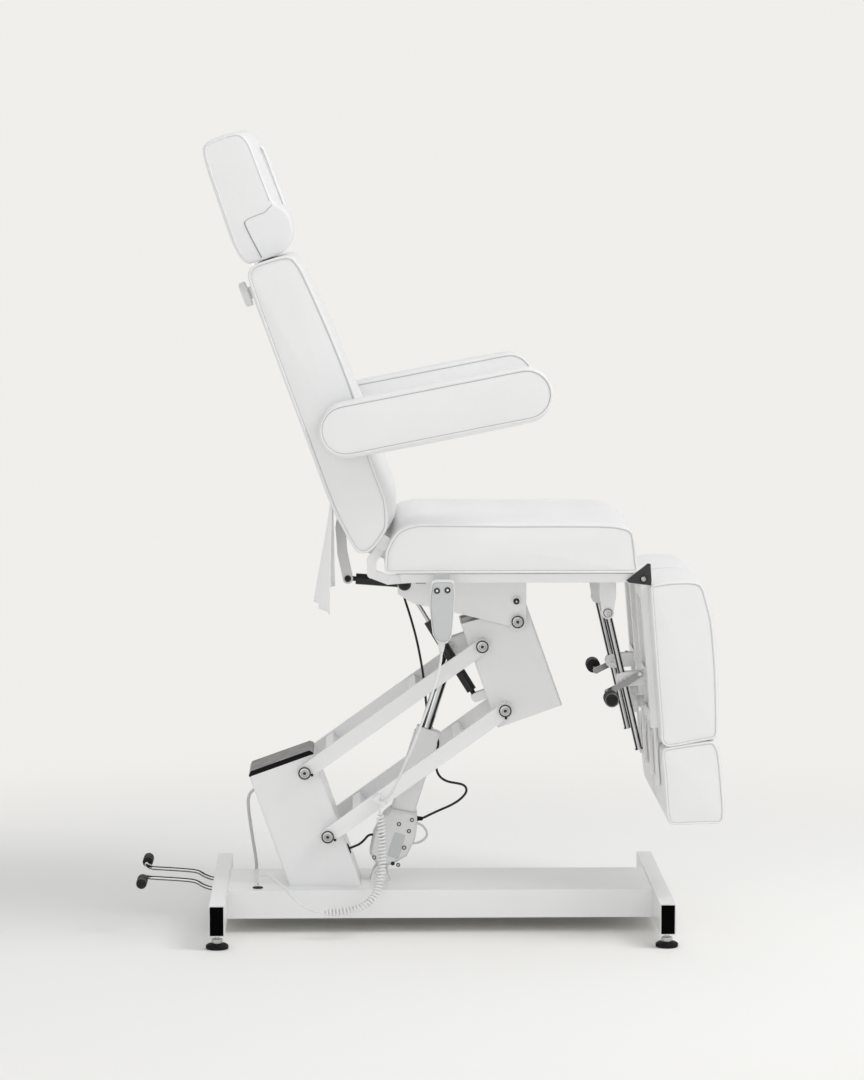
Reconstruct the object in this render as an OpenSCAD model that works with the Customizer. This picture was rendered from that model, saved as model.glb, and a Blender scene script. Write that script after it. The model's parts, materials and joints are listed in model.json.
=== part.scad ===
// Podiatry chair: a seat on a sloping parallelogram lift, with a reclining back, two split leg rests,
// a sliding headrest, swing-up armrests, foot pedals and a corded handset.
// X runs from the head end to the foot end, Y across the chair, Z up. The origin is on the floor.

/* [Base] */
// Length of the base over both foot bars
base_len = 900; // [840:5:1000]
// Length of each foot bar
foot_bar_len = 600; // [480:10:700]
// Width of each foot bar
foot_bar_w = 30; // [26:1:40]
// Height of each foot bar
foot_bar_h = 60; // [56:1:80]
// Wall of the base tubes
base_wall = 2; // [1.5:0.5:3]
// Height of the levelling feet under the bars
foot_h = 28; // [22:1:40]
// Width of the centre beam
beam_w = 245; // [220:5:300]
// Height of the centre beam
beam_h = 56; // [46:1:56]

/* [Lift] */
// Distance between the two pivots of a lift arm
arm_len = 430; // [400:5:460]
// Rise of the lift arms with the seat up, in degrees
arm_rise = 35.5; // [30:0.5:40]
// Distance from the upper arms to the lower arms
arm_drop = 135; // [120:1:145]
// Height of a lift arm bar
arm_h = 30; // [24:1:36]
// Thickness of a lift arm bar
arm_t = 10; // [6:1:12]
// Lean of the tower and of the block, in degrees
lean = 19.6; // [17:0.1:22]
// Height of the tower's upper pivot
tower_pivot_z = 316; // [300:1:340]
// Distance from the base's head end to the tower's upper pivot
tower_pivot_x = 183; // [170:1:200]
// Width of the tower and of the block
column_w = 150; // [140:2:160]
// Sheet thickness of the tower and of the block
column_wall = 3; // [2:0.5:4]

/* [Seat] */
// Width of the seat and of the back
seat_w = 600; // [560:10:660]
// Length of the seat cushion
seat_len = 484; // [460:2:500]
// Thickness of the seat cushion at its seams
seat_t = 92; // [80:1:100]
// Rise of the seat's crown over its seams
crown = 8; // [4:1:14]

/* [Back] */
// Height of the back cushion
back_len = 582; // [520:2:640]
// Thickness of the back cushion at its seams
back_t = 100; // [90:1:110]
// Rise of the back's crown over its seams
back_crown = 20; // [10:1:26]
// Lean of the back at rest, in degrees
back_lean = 20.4; // [16:0.2:24]

/* [Headrest] */
// Width of the headrest
head_w = 300; // [260:5:340]
// Height of the headrest
head_len = 250; // [220:5:280]
// Thickness of the headrest at its upper end
head_t = 92; // [80:1:100]

/* [Armrests] */
// Distance between the round ends' centres of an armrest
armrest_len = 347; // [300:5:380]
// Height of an armrest
armrest_h = 101; // [90:1:110]
// Width of an armrest
armrest_w = 80; // [60:2:90]
// Slope of an armrest at rest, in degrees
armrest_rise = 11.1; // [6:0.5:14]

/* [Legs] */
// Width of one leg cushion
leg_w = 272; // [240:4:276]
// Length of a leg cushion
leg_len = 320; // [306:2:322]
// Thickness of a leg cushion at its seams
leg_t = 96; // [84:1:104]
// Length of a foot cushion
foot_len = 158; // [130:2:180]
// Angle of the hanging leg rests below level, in degrees
leg_drop = 85.5; // [80:0.5:88]

/* [Hidden] */
$fn = 48;

// Clearances: a running fit, a seat between still faces, a gap between moving faces, a cut's overrun
fit = 0.05;
seat_gap = 0.2;
side_gap = 0.3;
cut = 1;

white = "white";
black = "#202022";
steel = "#b8bcc0";
pale = "#d8dadc";

// Turns a point of the side view about the origin, positive from +X to +Z
function turned(p, a) = [p[0] * cos(a) - p[1] * sin(a), p[0] * sin(a) + p[1] * cos(a)];
// Scales a table of shares to real sizes
function scaled(shares, w, h) = [for (s = shares) [s[0] * w, s[1] * h]];
// Middle of a list of points
function middle(points) = [for (k = [0:len(points[0]) - 1]) let (v = [for (p = points) p[k]])
    (max(v) + min(v)) / 2];

// Spreads a side outline from y0 to y1
module slab(y0, y1) translate([0, y1, 0]) rotate([90, 0, 0]) linear_extrude(y1 - y0) children();
// Puts children at a point of the side view
module at(p, y = 0) translate([p[0], y, p[1]]) children();
// Turns children in the side view, positive from +X to +Z
module turn(a) rotate([0, -a, 0]) children();
// A shaft across the chair
module pin(p, r, y0, y1) translate([p[0], y0, p[1]]) rotate([-90, 0, 0]) cylinder(h = y1 - y0, r = r);
// Children on both sides of the chair
module both_sides() {
    children();
    mirror([0, 1, 0]) children();
}
// Flat outline of straps of one width through a list of points
module strap(points, w, knuckle = knuckle_share) {
    for (p = points) translate(p) circle(d = w * knuckle);
    for (i = [0:len(points) - 2]) {
        step = points[i + 1] - points[i];
        translate(points[i]) rotate(atan2(step[1], step[0])) translate([0, -w / 2])
            square([norm(step), w]);
    }
}
// Rectangle with round corners, its lower left corner at the origin
module rounded(w, h, r) {
    translate([r, 0]) square([w - 2 * r, h]);
    translate([0, r]) square([w, h - 2 * r]);
    for (x = [r, w - r], y = [r, h - r]) translate([x, y]) circle(r = r);
}
// Round bar between two points
module bar(p, q, r) {
    d = q - p;
    translate(p) rotate([0, acos(d[2] / norm(d)), atan2(d[1], d[0])]) cylinder(h = norm(d), r = r);
}
// Bent round bar through a list of points, a little fuller at its bends
module bent_bar(points, r) {
    for (i = [0:len(points) - 2]) bar(points[i], points[i + 1], r);
    for (i = [1:len(points) - 2]) translate(points[i]) sphere(r = r * knuckle_share, $fn = 32);
}
// Screw head with a hex socket, its seat at y and facing away from the middle
module screw_head(p, r, y) translate([p[0], y, p[1]]) rotate([-90, 0, 0]) difference() {
    union() {
        cylinder(h = head_rim, r = r);
        translate([0, 0, head_rim]) cylinder(h = head_top, r1 = r, r2 = r - head_top);
    }
    translate([0, 0, head_rim + head_top - socket_depth])
        cylinder(h = socket_depth + cut, r = r * socket_share, $fn = 6);
}
knuckle_share = 1.03;
head_rim = 3.2;
head_top = 1.6;
socket_depth = 3;
socket_share = 0.5;

// Solid skinned over rings of equally many points, closed by a point at each end
module skinned(rings, first, last) {
    n = len(rings[0]);
    m = len(rings);
    polyhedron(
        points = concat([for (r = rings) each r], [first, last]),
        faces = concat(
            [for (j = [0:m - 2], i = [0:n - 1]) let (k = (i + 1) % n)
                each [[j * n + i, j * n + k, (j + 1) * n + k], [j * n + i, (j + 1) * n + k, (j + 1) * n + i]]],
            [for (i = [0:n - 1]) [m * n, (i + 1) % n, i]],
            [for (i = [0:n - 1]) [m * n + 1, (m - 1) * n + i, (m - 1) * n + (i + 1) % n]]));
}

// Upholstered pads: side outlines carried across the pad, drawn in at the seams and crowned between
pad_round = 7;
pad_dip = 5;
pad_y_shares = [-1, -0.97, -0.75, -0.45, -0.15, 0.15, 0.45, 0.75, 0.97, 1];
slim_y_shares = [-1, -0.95, -0.5, 0, 0.5, 0.95, 1];
// Outward direction of an outline that runs anticlockwise, at its point i
function outward(o, i) = let (n = len(o), d = o[(i + 1) % n] - o[(i + n - 1) % n]) [d[1], -d[0]] / norm(d);
// Share of the crown that a point takes: all on the face that looks along up, none on the others
function facing(v, up) = pow(max(0, v * up), 2);
function pad_ring(o, y, half, rise, up, draw, tuft) = [for (i = [0:len(o) - 1]) let (
    v = outward(o, i),
    lift = rise * facing(v, up) * (1 - pow(abs(y) / half, 2)),
    q = o[i] + v * (lift - draw - tuft * facing(v, up)))
    [q[0], y, q[1]]];
// Pad with the side outline o, half wide to each side; tufts draw in every other ring
module pad(o, half, rise, up, y_shares = pad_y_shares, tuft = 0) {
    rings = [for (k = [0:len(y_shares) - 1]) let (
        y = y_shares[k] * half,
        end = abs(y_shares[k]) == 1,
        draw = end ? pad_round : 0)
        pad_ring(o, y, half, rise, up, draw, (!end && k % 2 == 0) ? tuft : 0)];
    c = middle(o);
    skinned(rings, [c[0], -half + pad_dip, c[1]], [c[0], half - pad_dip, c[1]]);
}

// Cords: a tube through its route, with rings kept square to the run
function unit(v) = v / norm(v);
function along(path, i) = unit(path[min(i + 1, len(path) - 1)] - path[max(i - 1, 0)]);
function squared(v, t) = unit(v - (v * t) * t);
function sides_of(path, seed) = [for (i = 0, s = squared(seed, along(path, 0)); i < len(path);
    i = i + 1, s = squared(s, along(path, min(i, len(path) - 1)))) s];
module tube(path, r, facets, seed = [0.3, 1, 0.2]) {
    sides = sides_of(path, seed);
    rings = [for (i = [0:len(path) - 1]) let (t = along(path, i), u = sides[i], w = cross(t, u))
        [for (k = [0:facets - 1]) let (a = 360 * k / facets) path[i] + r * (u * cos(a) - w * sin(a))]];
    skinned(rings, path[0], path[len(path) - 1]);
}
// Route rounded by cutting its corners: each pass puts two points on every inner stretch
near_share = 0.25;
function cut_corners(p, passes) = passes == 0 ? p : cut_corners(concat([p[0]],
    [for (i = [0:len(p) - 2]) each [p[i] + (p[i + 1] - p[i]) * near_share,
        p[i + 1] - (p[i + 1] - p[i]) * near_share]], [p[len(p) - 1]]), passes - 1);
function route_len(p) = len(p) < 2 ? 0 : norm(p[1] - p[0])
    + route_len([for (i = [1:len(p) - 1]) p[i]]);

// Base
beam_len = base_len - 2 * foot_bar_w;
beam_z = foot_h + (foot_bar_h - beam_h) / 2;
beam_top = beam_z + beam_h;
bar_x = base_len / 2 - foot_bar_w / 2;
cap_proud = 1.5;
cap_depth = 14;
disc_r = 22;
disc_h = 11;
disc_waist = 4;
nut_r = 11;
nut_h = 9;
stem_r = 5;
stem_rise = 12;
foot_inset = 27;

module base_beam() placed() color(white) {
    difference() {
        translate([-beam_len / 2, -beam_w / 2, beam_z]) cube([beam_len, beam_w, beam_h]);
        translate([-beam_len / 2 - cut, -beam_w / 2 + base_wall, beam_z + base_wall])
            cube([beam_len + 2 * cut, beam_w - 2 * base_wall, beam_h - 2 * base_wall]);
        translate([cord_hole[0], cord_hole[1], beam_top - base_wall - cut])
            cylinder(h = base_wall + 2 * cut, r = grommet_r);
    }
    both_sides() slab(cheek_in, cheek_out) {
        translate(push_low) circle(r = cheek_r);
        polygon([
            [push_low[0] - cheek_foot, beam_top],
            [push_low[0] + cheek_foot, beam_top],
            push_low + [cheek_r * cos(cheek_flare), cheek_r * sin(cheek_flare)],
            push_low + [-cheek_r * cos(cheek_flare), cheek_r * sin(cheek_flare)]]);
    }
    pin(push_low, push_pin_r, -cheek_out, cheek_out);
    both_sides() screw_head(push_low, push_pin_r + head_rim, cheek_out);
}
cheek_flare = 10;

module foot_bars() placed() color(white) for (end = [-1, 1]) difference() {
    union() {
        difference() {
            translate([end * bar_x - foot_bar_w / 2, -foot_bar_len / 2, foot_h])
                cube([foot_bar_w, foot_bar_len, foot_bar_h]);
            translate([end * bar_x - foot_bar_w / 2 + base_wall, -foot_bar_len / 2 - cut, foot_h + base_wall])
                cube([foot_bar_w - 2 * base_wall, foot_bar_len + 2 * cut, foot_bar_h - 2 * base_wall]);
        }
        if (end < 0) for (y = [-pedal_y, pedal_y]) {
            for (s = [-1, 1]) translate([pedal_pivot[0] - pedal_lug_w / 2, y + s * pedal_lug_y - pedal_lug_t / 2,
                pedal_pivot[1] - pedal_eye_r]) cube([pedal_lug_w, pedal_lug_t,
                foot_h + foot_bar_h - base_wall / 2 - pedal_pivot[1] + pedal_eye_r]);
            pin(pedal_pivot, pedal_pin_r, y - pedal_lug_y, y + pedal_lug_y);
        }
    }
    for (y = [-1, 1]) translate([end * bar_x, y * (foot_bar_len / 2 - foot_inset), foot_h - cut])
        cylinder(h = base_wall + 2 * cut, r = stem_r + seat_gap);
    if (end < 0) for (y = [-pedal_y, pedal_y])
        translate([-base_len / 2 - cut, y - pedal_slot_w / 2, pedal_slot_z])
            cube([base_wall + 2 * cut, pedal_slot_w, pedal_slot_h]);
}

module bar_end_caps() placed() color(black) for (end = [-1, 1], side = [-1, 1]) {
    w = foot_bar_w - 2 * base_wall - 2 * seat_gap;
    h = foot_bar_h - 2 * base_wall - 2 * seat_gap;
    translate([end * bar_x - w / 2, side * (foot_bar_len / 2 + cap_proud / 2 - cap_depth / 2) - cap_depth / 2
        - cap_proud / 2, foot_h + base_wall + seat_gap]) difference() {
        cube([w, cap_depth + cap_proud, h]);
        translate([base_wall, side > 0 ? -cut : cap_depth / 2, base_wall])
            cube([w - 2 * base_wall, cap_depth / 2 + cap_proud + cut, h - 2 * base_wall]);
    }
}

module levelling_feet() placed() for (end = [-1, 1], side = [-1, 1])
    translate([end * bar_x, side * (foot_bar_len / 2 - foot_inset), 0]) {
        color(black) rotate_extrude() polygon([[0, 0], [disc_r - base_wall, 0], [disc_r, base_wall],
            [disc_r, disc_h - disc_waist], [disc_r - disc_waist, disc_h], [0, disc_h]]);
        color(steel) translate([0, 0, disc_h]) cylinder(h = nut_h, r = nut_r, $fn = 6);
        color(steel) translate([0, 0, disc_h]) cylinder(h = foot_h + base_wall + stem_rise - disc_h, r = stem_r);
    }

// Tower and block: sheet boxes that lean back, with the lift arms outside them
tower_back = 107;
tower_front = 28;
tower_up = 26;
fold_r = 5;
cover_h = 9;
cover_bevel = 6;
cover_lip = 12;
shaft_r = 8;
hub_r = 15;
arm_in = column_w / 2 + arm_t + 5;
arm_out = arm_in + arm_t;
head_r = 11.5;
grommet_r = 8;
grommet_flange = 2;
cord_hole = [-360, -95];
tower_hole_drop = 180;
tower_hole_y = -45;
mains_hole_rise = 178;
mains_hole_y = 50;

pivot_a = [tower_pivot_x - base_len / 2, tower_pivot_z];
pivot_b = pivot_a + turned([0, -arm_drop], lean);
pivot_c = pivot_a + turned([arm_len, 0], arm_rise);
pivot_d = pivot_c + turned([0, -arm_drop], lean);

module on_tower() placed() at(pivot_a) turn(lean) children();
module on_block() placed() at(pivot_c) turn(lean) children();
// Open-ended sheet box standing along local z, from z0 to z1
module sheet_box(x0, x1, z0, z1) translate([0, 0, z0]) linear_extrude(z1 - z0) difference() {
    translate([x0, -column_w / 2]) rounded(x1 - x0, column_w, fold_r);
    translate([x0 + column_wall, -column_w / 2 + column_wall])
        square([x1 - x0 - 2 * column_wall, column_w - 2 * column_wall]);
}
tower_hole = [tower_front, -tower_hole_drop];
mains_hole = pivot_a + turned([-tower_back, 0], lean) + (pivot_a[1] - beam_top - mains_hole_rise
    - tower_back * sin(lean)) / cos(lean) * [sin(lean), -cos(lean)];

module tower() difference() {
    on_tower() color(white) difference() {
        sheet_box(-tower_back, tower_front, -pivot_a[1] / cos(lean) - tower_back, tower_up);
        for (z = [0, -arm_drop]) pin([0, z], shaft_r + fit, -column_w, column_w);
        at(tower_hole, tower_hole_y) rotate([0, 90, 0]) cylinder(h = 3 * column_wall, r = grommet_r, center = true);
    }
    placed() translate([-base_len, -base_len, beam_top - base_len]) cube([2 * base_len, 2 * base_len, base_len]);
    placed() at(mains_hole, mains_hole_y) turn(lean) rotate([0, 90, 0])
        cylinder(h = 3 * column_wall, r = grommet_r, center = true);
}

module tower_cover() on_tower() color(black) {
    translate([-tower_back, -column_w / 2, tower_up]) hull() {
        linear_extrude(cover_h - cover_bevel) square([tower_back + tower_front, column_w]);
        translate([cover_bevel, cover_bevel, 0]) linear_extrude(cover_h)
            square([tower_back + tower_front - 2 * cover_bevel, column_w - 2 * cover_bevel]);
    }
    inset = column_wall + seat_gap;
    translate([-tower_back + inset, -column_w / 2 + inset, tower_up - cover_lip]) linear_extrude(cover_lip)
        difference() {
            square([tower_back + tower_front - 2 * inset, column_w - 2 * inset]);
            translate([column_wall, column_wall])
                square([tower_back + tower_front - 2 * inset - 2 * column_wall,
                    column_w - 2 * inset - 2 * column_wall]);
        }
}

module cross_shaft(p, end) {
    pin(p, shaft_r, -end, end);
    screw_head(p, head_r, end);
    mirror([0, 1, 0]) screw_head(p, head_r, end);
}
module tower_shafts() on_tower() color(steel) for (z = [0, -arm_drop]) cross_shaft([0, z], arm_out + side_gap);

module grommet(wall, bore) color(black) rotate_extrude() polygon([[bore, -grommet_flange],
    [grommet_r + grommet_flange, -grommet_flange], [grommet_r + grommet_flange, -seat_gap / 2],
    [grommet_r - seat_gap, -seat_gap / 2], [grommet_r - seat_gap, wall + seat_gap / 2],
    [grommet_r + grommet_flange, wall + seat_gap / 2], [grommet_r + grommet_flange, wall + grommet_flange],
    [bore, wall + grommet_flange]]);
module cable_grommets() {
    placed() translate([cord_hole[0], cord_hole[1], beam_top - base_wall])
        grommet(base_wall, curl_wire_r + seat_gap);
    on_tower() translate([tower_front - column_wall, tower_hole_y, -tower_hole_drop]) rotate([0, 90, 0])
        grommet(column_wall, wire_r + seat_gap);
    placed() at(mains_hole, mains_hole_y) turn(lean) rotate([0, 90, 0])
        grommet(column_wall, mains_r + seat_gap);
}

// Pedals: two bent rods that tip on pins inside the rear bar
pedal_y = 55;
pedal_r = 4.5;
pedal_pivot = [-base_len / 2 + foot_bar_w / 2, foot_h + 49];
pedal_eye_r = 8;
pedal_pin_r = 3;
pedal_lug_y = 9;
pedal_lug_w = 16;
pedal_lug_t = 3;
pedal_slot_w = 15;
pedal_slot_z = foot_h + 38;
pedal_slot_h = 20;
pedal_out = 50;
pedal_long = 138;
pedal_tip_up = 24;
pedal_turn = 14;
grip_r = 14;
grip_in = 96;
grip_out = 156;
grip_lift = 4;
grip_end = 6;
grip_x = pedal_pivot[0] - pedal_long - pedal_turn;
grip_z = pedal_pivot[1] + pedal_tip_up + grip_lift;

module pedal(side) placed() {
    root = [pedal_pivot[0], side * pedal_y, pedal_pivot[1]];
    rise = [root[0] - pedal_out, root[1], root[2] + pedal_tip_up - 2 * grip_lift];
    neck = [root[0] - pedal_long, root[1], root[2] + pedal_tip_up];
    bend = [grip_x, root[1] + side * pedal_turn, grip_z];
    tip = [grip_x, side * (grip_out - grip_end - fit), grip_z];
    color(steel) difference() {
        union() {
            bent_bar([root, [root[0] - foot_bar_w / 2 - pedal_r, root[1], root[2] + pedal_r / 2], rise, neck, bend,
                tip], pedal_r);
            pin(pedal_pivot, pedal_eye_r - 1, root[1] - pedal_r, root[1] + pedal_r);
        }
        pin(pedal_pivot, pedal_pin_r + fit, root[1] - 2 * pedal_eye_r, root[1] + 2 * pedal_eye_r);
    }
    color(black) translate([grip_x, side * grip_in, grip_z]) rotate([-side * 90, 0, 0]) rotate_extrude()
        polygon(concat([[pedal_r + fit, 0], [grip_r - cut, 0], [grip_r, cut]],
            [for (a = [0:15:90]) [grip_r - grip_end * (1 - cos(a)), grip_out - grip_in - grip_end * (1 - sin(a))]],
            [[0, grip_out - grip_in], [0, grip_out - grip_in - grip_end], [pedal_r + fit, grip_out - grip_in - grip_end]]));
}
module pedal_right() pedal(-1);
module pedal_left() pedal(1);

// Lift arms: two flat bars with round ends, hubs that reach in to the column, and welded cross bars
cross_w = 18;
cross_h = 26;
upper_cross_share = [0.163, 0.628];
lower_cross_share = [0.184, 0.753];
clip_at = 126;
clip_w = 16;
clip_h = 26;
clip_t = 26;
clip_r = 3;

module arms(pivot, cross_shares) placed() at(pivot) turn(arm_rise) color(white) {
    difference() {
        union() {
            both_sides() {
                slab(arm_in, arm_out) strap([[0, 0], [arm_len, 0]], arm_h, 1);
                for (x = [0, arm_len]) pin([x, 0], hub_r, column_w / 2 + side_gap, arm_in);
            }
            for (s = cross_shares) translate([s * arm_len - cross_w / 2, -arm_in, -cross_h / 2])
                cube([cross_w, 2 * arm_in, cross_h]);
        }
        for (x = [0, arm_len]) pin([x, 0], shaft_r + fit, -arm_out - cut, arm_out + cut);
    }
}
module upper_arms() arms(pivot_a, upper_cross_share);
module lower_arms() {
    arms(pivot_b, lower_cross_share);
    placed() at(pivot_b) turn(arm_rise) color(white) translate([clip_at, -arm_out - clip_t, 0])
        rotate([-90, 0, 0]) linear_extrude(clip_t) translate([-clip_w / 2, -clip_h / 2])
        rounded(clip_w, clip_h, clip_r);
}

// Block at the upper end of the lift, which carries the seat, the actuator's upper pivot and a clevis
block_back = 25;
block_front = 110;
block_up_back = 53;
block_up_front = 44;
block_down = 166;
block_flange = 8;
tilt_at = [82, 21];
push_at = [-56, 11.4];
clevis_at = [-46, -98];
tilt_pivot = pivot_c + turned(tilt_at, lean);
push_high = pivot_c + turned(push_at, lean);
clevis_pivot = pivot_c + turned(clevis_at, lean);
cheek_in = 14;
cheek_out = 19;
cheek_r = 14;
cheek_foot = 20;
push_pin_r = 5;
push_eye_r = 15;
push_slack = 6;
clevis_y = -38;
clevis_gap = 6;
clevis_t = 4;
clevis_r = 9;
spring_pin_r = 4;

module block() on_block() color(white) {
    difference() {
        sheet_box(-block_back, block_front, -block_down, block_up_back);
        slab(-column_w, column_w) polygon([[-block_back - cut, block_up_back], [block_front + cut, block_up_front],
            [block_front + cut, block_up_back + cut], [-block_back - cut, block_up_back + cut]]);
        for (p = [[0, 0], [0, -arm_drop], tilt_at]) pin(p, shaft_r + fit, -column_w, column_w);
    }
    translate([0, 0, -block_down]) linear_extrude(column_wall) difference() {
        translate([-block_back, -column_w / 2]) rounded(block_back + block_front, column_w, fold_r);
        translate([-block_back + column_wall + block_flange, -column_w / 2 + column_wall + block_flange])
            square([block_back + block_front - 2 * (column_wall + block_flange),
                column_w - 2 * (column_wall + block_flange)]);
    }
    both_sides() slab(cheek_in, cheek_out) {
        translate(push_at) circle(r = push_eye_r + 1);
        translate(push_at + [0, -push_eye_r - 1]) square([-push_at[0] - block_back, 2 * push_eye_r + 2]);
    }
    pin(push_at, push_pin_r, -cheek_out, cheek_out);
    both_sides() screw_head(push_at, push_pin_r + head_rim, cheek_out);
    for (y = [clevis_y - clevis_gap - clevis_t, clevis_y + clevis_gap]) slab(y, y + clevis_t) {
        translate(clevis_at) circle(r = clevis_r);
        translate(clevis_at + [0, -clevis_r]) square([-clevis_at[0] - block_back, 2 * clevis_r]);
    }
    pin(clevis_at, spring_pin_r, clevis_y - clevis_gap - clevis_t, clevis_y + clevis_gap + clevis_t);
}

module block_cover() on_block() color(black) {
    x0 = -block_back + column_wall + seat_gap;
    x1 = block_front - column_wall - seat_gap;
    slab(-column_w / 2 + column_wall + seat_gap, column_w / 2 - column_wall - seat_gap) polygon([
        [x0, block_up_back - cover_h], [x1, block_up_front - cover_h],
        [x1, block_up_front - cover_h + cover_bevel], [x0, block_up_back - cover_h + cover_bevel]]);
}

plate_in = column_w / 2 + 4;
plate_t = 6;
module block_shafts() on_block() color(steel) {
    for (z = [0, -arm_drop]) cross_shaft([0, z], arm_out + side_gap);
    cross_shaft(tilt_at, plate_in + plate_t + side_gap);
}

// Actuator: a geared motor with a push rod, on a pin at the beam and a pin at the block
push_low = [-118, beam_top + 16];
push_line = push_high - push_low;
push_len = norm(push_line);
push_lean = atan2(push_line[1], push_line[0]) - 90;
motor_half = 34;
motor_edge = 5;
motor_w = 82;
motor_h = 118;
motor_z = 19;
motor_shares = [[0.24, 0], [0.62, 0.03], [0.93, 0.26], [1, 0.57], [0.96, 0.77], [0.86, 1], [0.23, 0.955],
    [0.1, 0.81], [0, 0.45], [0.05, 0.12]];
motor_x = -36;
tube_out_x = 47;
tube_out_y = 42;
tube_x = -17;
tube_z = motor_z + motor_h - 8;
tube_end = 304;
tube_r = 6;
rod_r = 12.5;
rod_in = 30;
rod_bore_z = motor_z + motor_h - 10;
eye_t = 2 * (cheek_in - side_gap);
strip_t = 2.5;

module on_push() placed() at(push_low) turn(push_lean) children();
module actuator_housing() on_push() color(pale) difference() {
    union() {
        hull() {
            slab(-motor_half + motor_edge, motor_half - motor_edge) translate([motor_x, motor_z])
                polygon(scaled(motor_shares, motor_w, motor_h));
            slab(-motor_half, motor_half) translate([motor_x, motor_z])
                polygon([for (p = scaled(motor_shares, motor_w, motor_h)) let (c = [motor_w, motor_h] / 2)
                    c + (p - c) * (1 - 2 * motor_edge / motor_h)]);
        }
        slab(-eye_t / 2, eye_t / 2) {
            circle(r = cheek_r - 1);
            translate([-cheek_r + 2, 0]) square([2 * cheek_r - 4, motor_z + cheek_r]);
        }
    }
    pin([0, 0], push_pin_r + fit, -motor_half, motor_half);
    translate([0, 0, rod_bore_z]) cylinder(h = motor_h, r = tube_r * 3);
}
module actuator_tube() on_push() color(pale) difference() {
    union() {
        translate([tube_x, -tube_out_y / 2, tube_z]) linear_extrude(tube_end - tube_z)
            rounded(tube_out_x, tube_out_y, tube_r);
        translate([tube_x - strip_t, -tube_out_y / 4, tube_z + motor_h / 4])
            cube([2 * strip_t, tube_out_y / 2, tube_end - tube_z - motor_h / 3]);
    }
    translate([0, 0, tube_z - cut]) cylinder(h = tube_end - tube_z + 2 * cut, r = rod_r + fit);
    lid = [for (p = [motor_shares[6], motor_shares[5]]) [motor_x + p[0] * motor_w, motor_z + p[1] * motor_h + seat_gap]];
    slab(-motor_half, motor_half) polygon([lid[0] - [motor_w, motor_h], lid[1] + [motor_w, -motor_h],
        lid[1] + [motor_w, 0], lid[1], lid[0], lid[0] - [motor_w, 0]]);
}
module actuator_rod() on_push() color(steel) difference() {
    union() {
        translate([0, 0, tube_end - rod_in]) cylinder(h = push_len - tube_end + rod_in - push_eye_r / 2, r = rod_r);
        pin([0, push_len], push_eye_r, -eye_t / 2, eye_t / 2);
    }
    pin([0, push_len], push_pin_r + push_slack, -eye_t, eye_t);
}

// Seat frame: side plates on the block's tilt shaft, rails and cross tubes, swept bars to the back's
// hinge, ears for the leg rests and brackets for their struts
plate_rise = 97;
seat_origin = tilt_pivot + [0, plate_rise];
rail_y = 262;
rail_w = 20;
rail_h = 17;
rail_back = -234;
rail_front = 226;
plate_back = -236;
plate_front = 17;
plate_heel = 42;
plate_toe = 60;
sweep_t = 8;
sweep_w = 18;
sweep_shares = [[0.82, 0.1], [0.97, 0.06], [1.09, 0.22], [1.09, 0.56], [1, 1]];
back_hinge = [-264.8, 75.5];
back_hinge_r = 8;
sweep_eye_r = 14;
leg_hinge = [232.3, 7];
leg_shaft_r = 5;
leg_ear_r = 9;
leg_ear_t = 5;
strut_pivot = [172.4, -71.6];
strut_r = 7;
strut_pin_r = 4;
strut_gap = 8.5;
strut_cheek_t = 4;
strut_cheek_w = 32;
leg_y = 150;
tie_shares = [-0.97, -0.5, 0.08, 0.7];
tilt_stud = [-222.8, -22];
recline_stud = [-2.8, -56];
stud_r = 9;
slot_len = 16;
spring_slack = 0.6;

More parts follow.
